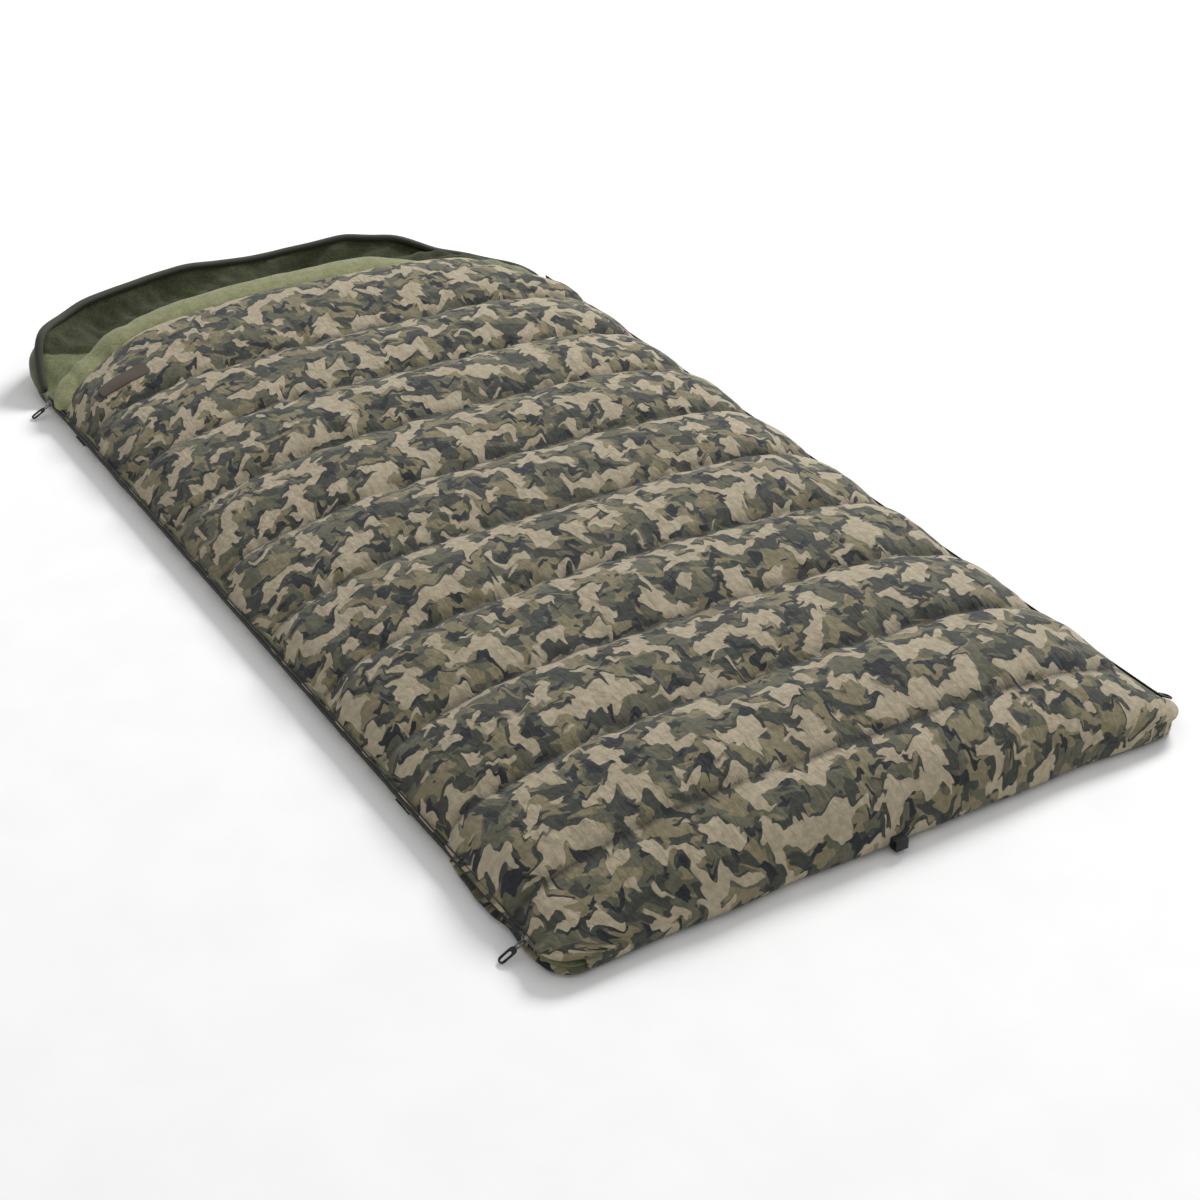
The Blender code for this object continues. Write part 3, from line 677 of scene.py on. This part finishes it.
def build_cover_lining():
    share = np.linspace(-1, 1, 91)
    ys = np.linspace(FOOT_Y + 0.017, HEAD_Y - 0.004, 170)
    x, y = np.meshgrid(share * (HALF - 0.0035), ys)
    low = slope_height(x, np.minimum(y, SLOPE_END_Y), ZIP_EDGE_Z, 0.0690)
    soft = fractals(x, y, 20.0, scale=0.12)
    edge = 1 - smooth(0.93, 1.0, np.abs(x) / HALF)
    z = low - (quilt(y, 0.0050) - 0.0015 * soft) * edge
    place_y = y - 0.25 * (y - head_curve(x / HALF, y))
    lining = surface("cover_fleece_lining", np.stack([x, place_y, z], axis=2), np.stack([x, y], axis=2))
    refine(lining, 1, FLEECE, 1.0)
    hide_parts("cover_lining_foot", "cover_lining_head")
    return lining


def lowest_above(tree, x, y, reach=0.008):
    """The lowest height of a surface seen from above, near a point in plan."""
    found = []
    for dx, dy in ((0, 0), (reach, 0), (-reach, 0), (0, reach), (0, -reach)):
        hit, _ = drop_onto(tree, x + dx, y + dy)
        found.append(hit.z if hit else 0.0)
    return min(found)


def build_cover_wadding(tree):
    """One closed filling for each channel, a little inside the fabric and the lining."""
    lines = [FOOT_Y + 0.022, *SEAMS, HEAD_Y - 0.004]
    made = []
    for number, (low, high) in enumerate(zip(lines[:-1], lines[1:]), 1):
        step = np.linspace(0.04, 0.96, 11)
        share = np.linspace(-0.955, 0.955, 61)
        rows = []
        for part in (*step, *step[::-1]):
            upper = len(rows) < len(step)
            y = low + (high - low) * part
            row = []
            for s in share:
                x, place_y = s * HALF, float(head_curve(s, y))
                z = float(slope_height(x, min(y, SLOPE_END_Y), ZIP_Z + 0.0075, 0.0715))
                if upper:
                    z = max(z + 0.0005, lowest_above(tree, x, place_y) - 0.0055)
                row.append((x, place_y, z))
            rows.append(row)
        piece = surface(f"cover_wadding_{number:02d}", rows, np.array(rows)[..., :2], close_rows=True)
        close_ends(piece)
        shade_smooth(piece)
        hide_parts(f"cover_fill_{number:02d}")
        made.append(piece)
    return made


def build_collar():
    """The fleece roll along the cover's head edge; its ends wrap down over the corners."""
    path, radius = [], []
    for s in np.linspace(-1.0, 1.0, 170):
        reach = abs(s)
        x = s * (HALF - 0.004)
        fall = float(side_fall(min(reach, 0.985)))
        corner = CORNER_SLUMP[int(s > 0)] * float(smooth(0.60, 1.0, reach))
        low = float(slope_height(x, 0.0, ZIP_Z + 0.004, 0.066))
        high = EDGE_Z + (HEAD_EDGE_Z + 0.001 - EDGE_Z) * fall * (1 - corner)
        high -= 0.026 * float(smooth(0.12, 0.34, x)) * fall
        r = max(0.020 if s < 0 else 0.012, (high - low) / 2)
        sag = 0.005 * fractal(x, 0.0, 30.0, scale=0.22)
        y = float(head_curve(s, HEAD_Y)) + r * 1.60 + sag
        end = float(smooth(0.92, 1.0, reach))
        path.append((x, y - 0.010 * end, (low + high) / 2 * (1 - end) + (low + 0.004) * end))
        radius.append(r * (1 - 0.30 * end) * (1 - 0.55 * float(smooth(0.985, 1.0, reach))))
    collar = tube("neck_collar_fleece", path, radius, 32, squash=(1.75, 1.0))
    co = np.array([v.co for v in collar.data.vertices])
    centre = np.array(path)
    nearest = np.array([int(np.argmin(np.abs(centre[:, 0] - c[0]))) for c in co])
    away = co - centre[nearest]
    away /= np.maximum(np.linalg.norm(away, axis=1), 1e-6)[:, None]
    folds = fractals(co[:, 0], co[:, 2] * 0.35 + co[:, 1] * 0.3, 33.0, scale=0.05, octaves=3)
    along = co[:, 0] / HALF
    ends = 0.0018 + 0.0085 * smooth(0.50, 0.95, -along) + 0.004 * smooth(0.5, 0.95, along)
    co = co + away * (folds * ends)[:, None]
    collar.data.vertices.foreach_set("co", co.ravel())
    refine(collar, 1)
    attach(collar, "cover")
    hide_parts("neck_collar")
    return collar


# Zips, hardware and trims


def boxes_mesh(name, pieces):
    """One mesh of many small tapered boxes: each is (centre, half size, taper of its outer face)."""
    corners = np.array([(x, y, z) for x in (-1, 1) for y in (-1, 1) for z in (-1, 1)], float)
    faces = np.array([(0, 1, 3, 2), (4, 6, 7, 5), (0, 4, 5, 1), (2, 3, 7, 6), (0, 2, 6, 4), (1, 5, 7, 3)])
    verts, quads = [], []
    for number, (centre, half, taper) in enumerate(pieces):
        shape = corners.copy()
        shape[corners[:, 2] * np.sign(half[2]) > 0, :2] *= taper
        verts.append(shape * np.abs(half) + centre)
        quads.append(faces + 8 * number)
    mesh = bpy.data.meshes.new(name)
    mesh.from_pydata(np.concatenate(verts).tolist(), [], np.concatenate(quads).tolist())
    return outward(linked(name, mesh))


TOOTH_PITCH = 0.0034


def zip_teeth(name, side, upper):
    """Moulded teeth, each gripping its tape and reaching past the middle line between its neighbours."""
    sign = 1 if upper else -1
    x = side * (ZIP_X + 0.0013)
    shift = 0.25 if upper else -0.25
    count = int((ZIP_HIGH - ZIP_LOW) / TOOTH_PITCH) - 1
    pieces = []
    for i in range(count):
        y = ZIP_LOW + (i + 1 + shift) * TOOTH_PITCH
        pieces.append(((x, y, ZIP_Z + sign * 0.0024), (0.0014, 0.00085, 0.0013 * sign), (1.0, 0.9)))
        pieces.append(((x, y, ZIP_Z + sign * 0.0005), (0.0011, 0.00115, 0.0011 * sign), (0.85, 0.75)))
    return boxes_mesh(name, pieces)


def zip_tape(name, side, upper):
    """The woven strip that the teeth sit on, with a raised cord at its edge."""
    sign = 1 if upper else -1
    outline_z = (0.0012, 0.0022, 0.0034, 0.0042, 0.0062, 0.0090)
    outline_x = (0.0006, 0.0013, 0.0013, 0.0005, 0.0003, 0.0001)
    ys = np.linspace(ZIP_LOW, ZIP_HIGH, 300)
    rows = [[(side * (ZIP_X + x), y, ZIP_Z + sign * z) for y in ys] for x, z in zip(outline_x, outline_z)]
    flat = [[(z, y) for y in ys] for z in outline_z]
    tape = surface(name, rows, flat)
    return refine(tape, 0, 0.0006, 0)


def bevelled(node, name, width, segments=2):
    """A copy of a CAD node with its edges rounded."""
    source = frame["nodes"][node]
    obj = linked(name, source.data.copy())
    weld(obj, 1e-6)
    obj.data.materials.clear()
    bevel = obj.modifiers.new("edges", "BEVEL")
    bevel.width = width
    bevel.segments = segments
    bevel.limit_method = "ANGLE"
    bevel.angle_limit = math.radians(35)
    apply_all(obj)
    shade_smooth(obj)
    obj.data.set_sharp_from_angle(angle=math.radians(50))
    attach(obj, source["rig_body"])
    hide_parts(node)
    return obj


def stitches(name, lines, tree, length=0.0030, gap=0.0022, radius=0.00035):
    """Short threads laid end to end on a surface, along lines in plan."""
    verts, faces = [], []
    for line in lines:
        line = np.asarray(line, float)
        run = run_along(line)
        at = 0.0
        while at + length < run[-1]:
            ends = []
            for where in (at, at + length / 2, at + length):
                x, y = np.interp(where, run, line[:, 0]), np.interp(where, run, line[:, 1])
                hit, normal = drop_onto(tree, x, y)
                if hit is not None:
                    ends.append((hit, normal))
            at += length + gap
            if len(ends) < 3 or ends[0][1].z < 0.15:
                continue
            start = len(verts)
            way = (ends[2][0] - ends[0][0]).normalized()
            side = way.cross(ends[1][1]).normalized()
            for (place, normal), size, lift in zip(ends, (0.35, 1.0, 0.35), (-0.3, 0.8, -0.3)):
                for a in (0, 90, 180, 270):
                    turn = math.radians(a)
                    out = size * math.cos(turn) * side + (size * math.sin(turn) + lift) * normal
                    verts.append(place + radius * out)
            for ring in (start, start + 4):
                for k, after in ((0, 1), (1, 2), (2, 3), (3, 0)):
                    faces.append((ring + k, ring + after, ring + 4 + after, ring + 4 + k))
            faces.append((start + 3, start + 2, start + 1, start))
            faces.append((start + 8, start + 9, start + 10, start + 11))
    mesh = bpy.data.meshes.new(name)
    mesh.from_pydata([tuple(v) for v in verts], [], faces)
    obj = outward(linked(name, mesh))
    shade_smooth(obj)
    return obj


def seam_lines():
    share = np.linspace(-0.97, 0.97, 240)
    lines = []
    for y in SEAMS:
        wander = np.array([seam_wander(s, y) for s in share])
        lines.append(np.stack([share * HALF, y + wander], axis=1))
    return lines


PATCH_HEM = 0.0025


def build_patch(tree):
    """A plain woven patch that lies on the fabric."""
    low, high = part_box("maker_patch")
    xs = np.linspace(low.x, high.x, 26)
    ys = np.linspace(low.y, high.y, 16)
    middle = ((low.x + high.x) / 2, (low.y + high.y) / 2)
    half = ((high.x - low.x) / 2, (high.y - low.y) / 2)
    rows, flat = [], []
    for y in ys:
        row = []
        for x in xs:
            u, v = (x - middle[0]) / half[0], (y - middle[1]) / half[1]
            round_corner = 1 - 0.10 * (u * v) ** 4
            px, py = middle[0] + half[0] * u * round_corner, middle[1] + half[1] * v * round_corner
            hit, normal = drop_onto(tree, px, py)
            row.append(tuple(hit + normal * 0.0009))
        rows.append(row)
        flat.append([(x, y) for x in xs])
    patch = surface("plain_patch", rows, flat)
    refine(patch, 1, 0.0009, 0)
    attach(patch, "cover")
    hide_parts("maker_patch")
    west, east = low.x + PATCH_HEM, high.x - PATCH_HEM
    south, north = low.y + PATCH_HEM, high.y - PATCH_HEM
    loop = [(west, south), (east, south), (east, north), (west, north), (west, south)]
    thread = stitches("patch_stitching", [loop], surface_tree(patch), 0.0022, 0.0010, 0.00030)
    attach(thread, "cover")
    return patch, thread


def build_draft_tube(side, label):
    low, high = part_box(f"zip_draft_tube_{label}")
    middle = (low + high) / 2
    ys = np.linspace(low.y, high.y, 130)
    path = [(middle.x + 0.0012 * fractal(0, y, 40 + side, scale=0.12), y, middle.z) for y in ys]
    radius = []
    for y in ys:
        end = float(smooth(0.04, 0, min(y - low.y, high.y - y)))
        radius.append(0.0032 * (1 + 0.12 * fractal(0, y, 50 + side, scale=0.05)) * (1 - 0.6 * end))
    roll = tube(f"draft_tube_{label}", path, radius, 14, squash=(3.5, 0.95))
    refine(roll, 0)
    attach(roll, "base")
    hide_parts(f"zip_draft_tube_{label}")
    return roll


# Materials


class Shader:
    """A material's node tree with a few short ways to add to it."""

    def __init__(self, name, roughness, metallic=0.0, sheen=0.0, specular=0.5):
        self.material = bpy.data.materials.new(name)
        self.material.use_nodes = True
        self.tree = self.material.node_tree
        self.principled = self.tree.nodes["Principled BSDF"]
        self.principled.inputs["Roughness"].default_value = roughness
        self.principled.inputs["Metallic"].default_value = metallic
        self.principled.inputs["Sheen Weight"].default_value = sheen
        self.principled.inputs["Sheen Roughness"].default_value = 0.5
        self.principled.inputs["Specular IOR Level"].default_value = specular
        self.heights = []

    def node(self, kind, inputs=None, **settings):
        made = self.tree.nodes.new("ShaderNode" + kind)
        for key, value in settings.items():
            setattr(made, key, value)
        for key, value in (inputs or {}).items():
            if isinstance(value, bpy.types.NodeSocket):
                self.tree.links.new(value, made.inputs[key])
            else:
                made.inputs[key].default_value = value
        return made

    def cloth(self):
        return self.node("UVMap", uv_map="cloth").outputs["UV"]

    def place(self):
        return self.node("TexCoord").outputs["Object"]

    def mapped(self, vector, scale=(1, 1, 1), shift=(0, 0, 0), turn=0.0):
        inputs = {"Vector": vector, "Scale": scale, "Location": shift, "Rotation": (0, 0, turn)}
        return self.node("Mapping", inputs).outputs["Vector"]

    def noise(self, vector, scale, detail=2.0, roughness=0.5, distortion=0.0, output="Fac"):
        inputs = {"Vector": vector, "Scale": scale, "Detail": detail}
        inputs.update({"Roughness": roughness, "Distortion": distortion})
        return self.node("TexNoise", inputs).outputs[output]

    def math(self, operation, a, b=0.0):
        return self.node("Math", {0: a, 1: b}, operation=operation).outputs[0]

    def range(self, value, low, high, new_low=0.0, new_high=1.0):
        inputs = {"Value": value, "From Min": low, "From Max": high, "To Min": new_low, "To Max": new_high}
        return self.node("MapRange", inputs, interpolation_type="SMOOTHSTEP").outputs[0]

    def mix(self, factor, a, b, blend="MIX"):
        return self.node("Mix", {0: factor, 6: a, 7: b}, data_type="RGBA", blend_type=blend).outputs[2]

    def between(self, value, low, high, dark, light):
        """One colour where the value is under low, changing to the other by high."""
        return self.mix(self.range(value, low, high), dark, light)

    def vector_add(self, a, b):
        return self.node("VectorMath", {0: a, 1: b}, operation="ADD").outputs[0]

    def vector_scale(self, a, amount):
        return self.node("VectorMath", {0: a, "Scale": amount}, operation="SCALE").outputs[0]

    def warp(self, vector, scale, amount, detail=2.0):
        """The vector pushed about by noise, by up to about half the amount."""
        spread = self.noise(vector, scale, detail, output="Color")
        moved = self.node("VectorMath", {0: spread, 1: (0.5, 0.5, 0.5)}, operation="SUBTRACT")
        return self.vector_add(vector, self.vector_scale(moved.outputs[0], amount))

    def comb(self, vector, degrees, along, across, amount, shift=0.0):
        """The vector slid along one direction by strips, which draws shapes out into pointed lobes."""
        turned = self.mapped(vector, turn=-math.radians(degrees), shift=(shift, shift, 0))
        strips = self.noise(self.mapped(turned, scale=(along, across, 1)), 1.0, 1.5)
        slide = self.math("MULTIPLY", self.math("SUBTRACT", strips, 0.5), 2 * amount)
        way = (math.cos(math.radians(degrees)), math.sin(math.radians(degrees)), 0.0)
        moved = self.node("VectorMath", {0: way, "Scale": slide}, operation="SCALE").outputs[0]
        return self.vector_add(vector, moved)

    def colour(self, socket):
        self.tree.links.new(socket, self.principled.inputs["Base Color"])

    def bump(self, height, distance, strength=1.0):
        """Adds one layer of relief, its height in metres for a height value of 1."""
        inputs = {"Height": height, "Distance": distance, "Strength": strength}
        if self.heights:
            inputs["Normal"] = self.heights[-1]
        self.heights.append(self.node("Bump", inputs).outputs["Normal"])

    def done(self):
        if self.heights:
            self.tree.links.new(self.heights[-1], self.principled.inputs["Normal"])
        return self.material


def rgb(*parts):
    """A linear colour from one given as 0 to 255 in sRGB."""
    shares = [part / 255 for part in parts]
    return (*[c / 12.92 if c <= 0.04045 else ((c + 0.055) / 1.055) ** 2.4 for c in shares], 1)


def weave(shader, vector, pitch, depth):
    """A plain weave: crossing threads, alternately over and under."""
    scaled = shader.vector_scale(vector, math.pi / pitch)
    split = shader.node("SeparateXYZ", {0: scaled})
    across = shader.math("SINE", split.outputs[0])
    along = shader.math("SINE", split.outputs[1])
    cross = shader.math("MULTIPLY", across, along)
    shader.bump(shader.range(cross, -1, 1), depth, 0.6)
    return cross


def camo_material():
    """A four-colour woodland print of pointed lobes on brushed polyester, with painted shade along the quilt
    seams.
    """
    s = Shader("woodland_camouflage", 0.88, sheen=0.12, specular=0.25)
    cloth = s.cloth()
    soft = s.warp(cloth, 15, 0.034, 1.0)
    first = s.comb(s.comb(soft, 62, 8, 38, 0.040), -28, 9, 46, 0.026)
    second = s.comb(s.comb(soft, 125, 8, 36, 0.038, 4.0), 20, 9, 44, 0.025, 6.0)
    tan = s.noise(first, 23, 0.7, 0.5, 0.12)
    shadow = s.noise(s.vector_add(first, (0.007, -0.009, 0.0)), 23, 0.7, 0.5, 0.12)
    green = s.noise(s.vector_add(second, (3.1, 1.7, 0.0)), 19, 0.7, 0.5, 0.15)
    dark = s.noise(s.vector_add(second, (7.7, 2.2, 0.0)), 24, 0.9, 0.5, 0.2)
    black = s.noise(s.vector_add(first, (1.3, 9.2, 0.0)), 33, 1.0, 0.55, 0.25)
    tone = s.noise(cloth, 90, 3.0, 0.6)
    tones = {
        "green": s.between(tone, 0.35, 0.65, rgb(84, 83, 68), rgb(98, 96, 79)),
        "olive": s.between(tone, 0.35, 0.65, rgb(114, 106, 81), rgb(130, 121, 95)),
        "tan": s.between(tone, 0.3, 0.7, rgb(153, 142, 119), rgb(174, 162, 139)),
        "dark": s.between(tone, 0.35, 0.65, rgb(54, 57, 52), rgb(68, 69, 62)),
        "black": s.between(tone, 0.35, 0.65, rgb(33, 36, 40), rgb(45, 47, 50)),
    }
    edge = 0.009  # half the softness of a printed edge, in the noise's own value
    layers = ((green, 0.505, "olive"), (dark, 0.555, "dark"), (shadow, 0.572, "dark"))
    layers += ((black, 0.605, "black"), (tan, 0.552, "tan"))
    colour = tones["green"]
    for value, limit, tone_name in layers:
        colour = s.between(value, limit - edge, limit + edge, colour, tones[tone_name])
    cross = weave(s, cloth, 0.0011, 0.00025)
    fuzz = s.noise(cloth, 900, 2.0)
    grain = s.math("ADD", s.math("MULTIPLY", cross, 0.03), s.range(fuzz, 0.3, 0.7, 0.93, 1.05))
    colour = s.mix(1.0, colour, s.node("CombineXYZ", {0: grain, 1: grain, 2: grain}).outputs[0], "MULTIPLY")
    # Painted shade: the colour darkens towards near-black along the quilt seams' grooves, by the crease
    # weight, mottled by noise.
    groove = s.node("Attribute", attribute_name="crease").outputs["Fac"]
    wear_and_groove_shade = s.math("MULTIPLY", groove, s.range(s.noise(cloth, 30, 2.0), 0.3, 0.6, 0.25, 0.75))
    colour = s.mix(wear_and_groove_shade, colour, rgb(36, 36, 33))
    s.colour(colour)
    s.bump(s.noise(cloth, 160, 3.0, 0.6), 0.0010, 0.7)
    s.bump(s.noise(s.mapped(cloth, scale=(1.6, 0.7, 1)), 42, 2.5, 0.55, 0.6), 0.006, 0.6)
    return s.done()


def olive_material():
    """Plain olive brushed polyester, for the hood's outside and the underside."""
    s = Shader("olive_outer_fabric", 0.86, sheen=0.15, specular=0.25)
    cloth = s.cloth()
    tone = s.noise(cloth, 25, 3.0, 0.55)
    fine = s.noise(cloth, 700, 2.0)
    colour = s.between(tone, 0.3, 0.7, rgb(84, 88, 66), rgb(101, 104, 80))
    colour = s.mix(s.range(fine, 0.35, 0.75, 0.0, 0.35), colour, rgb(68, 71, 54))
    s.colour(colour)
    weave(s, cloth, 0.0012, 0.0003)
    s.bump(s.noise(cloth, 60, 3.0, 0.6), 0.0015, 0.5)
    return s.done()


def fleece_material(name, dark, light, hood_shade=None):
    """Brushed fleece with a soft uneven pile; the last argument is (y, dark, light): past y the same fleece
    takes these darker colours, painted shade for the hood's inside.
    """
    s = Shader(name, 0.95, sheen=0.16, specular=0.10)
    cloth = s.place()
    pile_noise = s.noise(cloth, 260, 4.0, 0.7)
    clump = s.noise(cloth, 55, 3.0, 0.6)
    value = s.math("ADD", s.math("MULTIPLY", pile_noise, 0.6), s.math("MULTIPLY", clump, 0.4))
    amount = s.range(value, 0.36, 0.64)
    colour = s.mix(amount, dark, light)
    # Painted shade: past the given y the same fleece takes darker colours, for the shade inside the hood.
    if hood_shade:
        along = s.node("SeparateXYZ", {0: s.cloth()}).outputs[1]
        hood = s.range(along, hood_shade[0] - 0.0015, hood_shade[0] + 0.0015)
        colour = s.mix(hood, colour, s.mix(amount, *hood_shade[1:]))
    s.colour(colour)
    s.bump(clump, 0.0022, 0.5)
    s.bump(pile_noise, 0.0014, 0.8)
    return s.done()


def wadding_material():
    """White hollow-fibre wadding, matted and uneven."""
    s = Shader("white_wadding", 0.95, sheen=0.3, specular=0.1)
    cloth = s.place()
    fibres = s.noise(s.mapped(cloth, scale=(1, 3, 2)), 240, 5.0, 0.75, 1.5)
    lumps = s.noise(cloth, 30, 3.0, 0.6)
    s.colour(s.between(fibres, 0.35, 0.65, rgb(205, 205, 198), rgb(238, 238, 232)))
    s.bump(lumps, 0.006, 0.5)
    s.bump(fibres, 0.002, 0.7)
    return s.done()


BAND_TURN = 6.283  # a full turn, in radians


def webbing_material(name, dark, light, pitch=0.0016):
    """Ribbed woven tape."""
    s = Shader(name, 0.75, sheen=0.1, specular=0.35)
    where = s.place()
    inputs = {"Vector": where, "Scale": 1 / pitch / BAND_TURN, "Distortion": 0.6, "Detail": 1.0}
    ribs = s.node("TexWave", inputs, bands_direction="DIAGONAL")
    thread = s.noise(where, 1400, 2.0)
    s.colour(s.between(thread, 0.3, 0.7, dark, light))
    s.bump(ribs.outputs["Fac"], 0.0003, 0.7)
    s.bump(thread, 0.0002, 0.6)
    return s.done()


def plastic_material():
    s = Shader("zip_tooth_plastic", 0.42, specular=0.5)
    where = s.place()
    fine = s.noise(where, 1800, 2.0)
    s.colour(s.between(fine, 0.3, 0.7, rgb(26, 27, 27), rgb(38, 38, 38)))
    s.bump(fine, 0.00008, 0.5)
    return s.done()


def rubber_material():
    s = Shader("moulded_rubber", 0.6, specular=0.4)
    where = s.place()
    fine = s.noise(where, 900, 3.0)
    scuff = s.noise(where, 260, 4.0, 0.7)
    s.colour(s.between(scuff, 0.5, 0.75, rgb(24, 24, 25), rgb(52, 52, 52)))
    s.bump(fine, 0.00015, 0.7)
    return s.done()


def metal_material():
    """Dark plated die-cast metal, brighter where it is rubbed."""
    s = Shader("plated_zip_metal", 0.34, metallic=1.0)
    where = s.place()
    wear_and_groove_shade = s.noise(where, 420, 4.0, 0.65)
    s.colour(s.between(wear_and_groove_shade, 0.45, 0.72, rgb(98, 98, 100), rgb(190, 190, 192)))
    s.bump(s.noise(where, 1500, 2.0), 0.00006, 0.6)
    return s.done()


def patch_material():
    """A plain woven patch, with close ribs."""
    s = Shader("woven_patch", 0.8, sheen=0.1, specular=0.3)
    cloth = s.cloth()
    fine = s.noise(cloth, 1100, 2.0)
    s.colour(s.between(fine, 0.3, 0.7, rgb(70, 62, 52), rgb(88, 78, 66)))
    weave(s, cloth, 0.0009, 0.0003)
    return s.done()


def thread_material(name, dark, light):
    s = Shader(name, 0.7, sheen=0.1)
    twist = s.noise(s.place(), 2500, 2.0)
    s.colour(s.between(twist, 0.3, 0.7, dark, light))
    s.bump(twist, 0.0001, 0.6)
    return s.done()


def floor_material():
    s = Shader("pale_floor", 0.9, specular=0.1)
    fine = s.noise(s.place(), 8, 3.0)
    s.colour(s.between(fine, 0.3, 0.7, rgb(250, 250, 250), rgb(253, 253, 253)))
    return s.done()


def give(material, slot, *objects):
    for obj in objects:
        obj.data.materials.clear()
        obj.data.materials.append(material)


# Camera, light and floor


def aim(obj, place, heading, pitch):
    """Looks along a heading, degrees from +Y towards +X, tipped down by the pitch."""
    a, p = math.radians(heading), math.radians(pitch)
    way = Vector((math.sin(a) * math.cos(p), math.cos(a) * math.cos(p), -math.sin(p)))
    obj.location = place
    obj.rotation_euler = way.to_track_quat("-Z", "Y").to_euler()


CAMERA_PLACE, CAMERA_HEADING, CAMERA_PITCH = (-1.530, -2.804, 1.809), 31.33, 31.73


def build_camera():
    data = bpy.data.cameras.new("camera")
    data.lens = 66.57
    data.sensor_width = 36
    camera = linked("camera", data)
    aim(camera, CAMERA_PLACE, CAMERA_HEADING, CAMERA_PITCH)
    bpy.context.scene.camera = camera


def area_light(name, place, target, size, power):
    data = bpy.data.lights.new(name, "AREA")
    data.shape = "DISK"
    data.size = size
    data.energy = power
    light = linked(name, data)
    light.location = place
    light.rotation_euler = (Vector(target) - Vector(place)).to_track_quat("-Z", "Y").to_euler()


def build_stage():
    rows = [[(x, y, 0) for x in (-30, 0, 30)] for y in (-30, 0, 30)]
    floor = surface("floor", rows)
    floor.location.z = -0.0008
    floor.data.materials.append(floor_material())
    world = bpy.data.worlds.new("studio")
    world.use_nodes = True
    background = world.node_tree.nodes["Background"]
    background.inputs["Color"].default_value = (1, 1, 1, 1)
    background.inputs["Strength"].default_value = 0.58
    bpy.context.scene.world = world
    bpy.context.scene.view_settings.view_transform = "Standard"
    area_light("key", (6.6, 3.2, 5.6), (0, 0, 0.1), 3.2, 740)


HARDWARE = (
    ("slider", "zip_slider", 0.0005, "metal", "zip_metal"),
    ("pull_tab", "zip_pull", 0.0003, "metal", "zip_metal"),
    ("pull_loop", "zip_loop", 0.0007, "rubber", "pull_rubber"),
    ("zip_stop", "zip_end_stop", 0.0004, "metal", "zip_metal"),
)


def main():
    build_camera()
    build_stage()
    camo, olive = camo_material(), olive_material()
    fleece_colours = (rgb(104, 110, 78), rgb(128, 133, 100))
    fleece = fleece_material("olive_fleece", *fleece_colours)
    collar_fleece = fleece_material("collar_fleece", rgb(118, 121, 86), rgb(145, 146, 110))
    # Darker colours for the same fleece past the hood's root: painted shade on the hood's inside.
    hood_shade_colours = (ROOT_Y - 0.03, rgb(46, 50, 34), rgb(70, 74, 50))
    inner_fleece = fleece_material("base_and_hood_fleece", *fleece_colours, hood_shade=hood_shade_colours)
    webbing = webbing_material("black_webbing", rgb(24, 25, 25), rgb(44, 45, 44))
    tape = webbing_material("zip_tape", rgb(27, 28, 26), rgb(46, 47, 44), 0.0009)
    binding_tape = webbing_material("rim_tape", rgb(40, 44, 33), rgb(60, 64, 50))
    wadding, plastic = wadding_material(), plastic_material()
    rubber, metal = rubber_material(), metal_material()
    thread = thread_material("dark_thread", rgb(38, 38, 34), rgb(62, 61, 55))
    red_thread = thread_material("brown_red_thread", rgb(92, 46, 38), rgb(122, 66, 54))

    hood, band, under = build_base_outside()
    inside = build_base_inside()
    base_filling = build_base_wadding()
    binding, cord = build_rim()
    for piece in (hood, under, inside, base_filling, binding, cord):
        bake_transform(piece)
    give(olive, "outer_fabric", hood, under)
    give(camo, "camo_fabric", band)
    give(inner_fleece, "fleece", inside)
    give(wadding, "wadding", base_filling)
    give(binding_tape, "webbing", binding)
    give(webbing, "webbing", cord)

    top = build_cover_top()
    tree = surface_tree(top)
    cover_lining = build_cover_lining()
    fillings = build_cover_wadding(tree)
    seams = stitches("quilt_stitching", seam_lines(), tree)
    folding = [top, cover_lining, seams]
    for number, filling in enumerate(fillings, 1):
        if number in FOLDING_FILLINGS:
            folding.append(filling)
        else:
            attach(filling, "base" if number < 6 else "cover")
    for piece in folding:
        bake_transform(piece)
    give(camo, "camo_fabric", top)
    give(fleece, "fleece", cover_lining)
    give(wadding, "wadding", *fillings)
    give(thread, "webbing", seams)
    collar = build_collar()
    give(collar_fleece, "fleece", collar)
    patch, patch_thread = build_patch(tree)
    give(patch_material(), "patch", patch)
    give(red_thread, "patch", patch_thread)

    materials = {"metal": metal, "rubber": rubber}
    for label, side in (("left", -1), ("right", 1)):
        roll = build_draft_tube(side, label)
        give(fleece, "fleece", roll)
        for upper in (False, True):
            row = "cover" if upper else "base"
            teeth = zip_teeth(f"{row}_zip_teeth_{label}", side, upper)
            strip = zip_tape(f"{row}_zip_tape_{label}", side, upper)
            for piece in (teeth, strip):
                if upper:
                    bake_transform(piece)
                else:
                    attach(piece, "base")
            nodes = [f"cover_zip_foot_{label}", f"cover_zip_head_{label}"] if upper else [f"base_zip_{label}"]
            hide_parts(*nodes)
            give(plastic, "zip_plastic", teeth)
            give(tape, "zip_plastic", strip)
        for end in ("foot", "head"):
            for node, name, width, material, slot in HARDWARE:
                node, name = (f"{word}_{end}_{label}" for word in (node, name))
                give(materials[material], slot, bevelled(node, name, width))
    for end in ("foot", "head"):
        give(webbing, "webbing", bevelled(f"bedchair_strap_{end}", f"elastic_strap_{end}", 0.0004))
    give(webbing, "webbing", bevelled("foot_hanging_loop", "webbing_loop", 0.0005))

    padded = [(collar, 0.7), (top, 0.6), (base_filling, 0.5)]
    padded += [(filling, 0.6) for filling in fillings]


main()
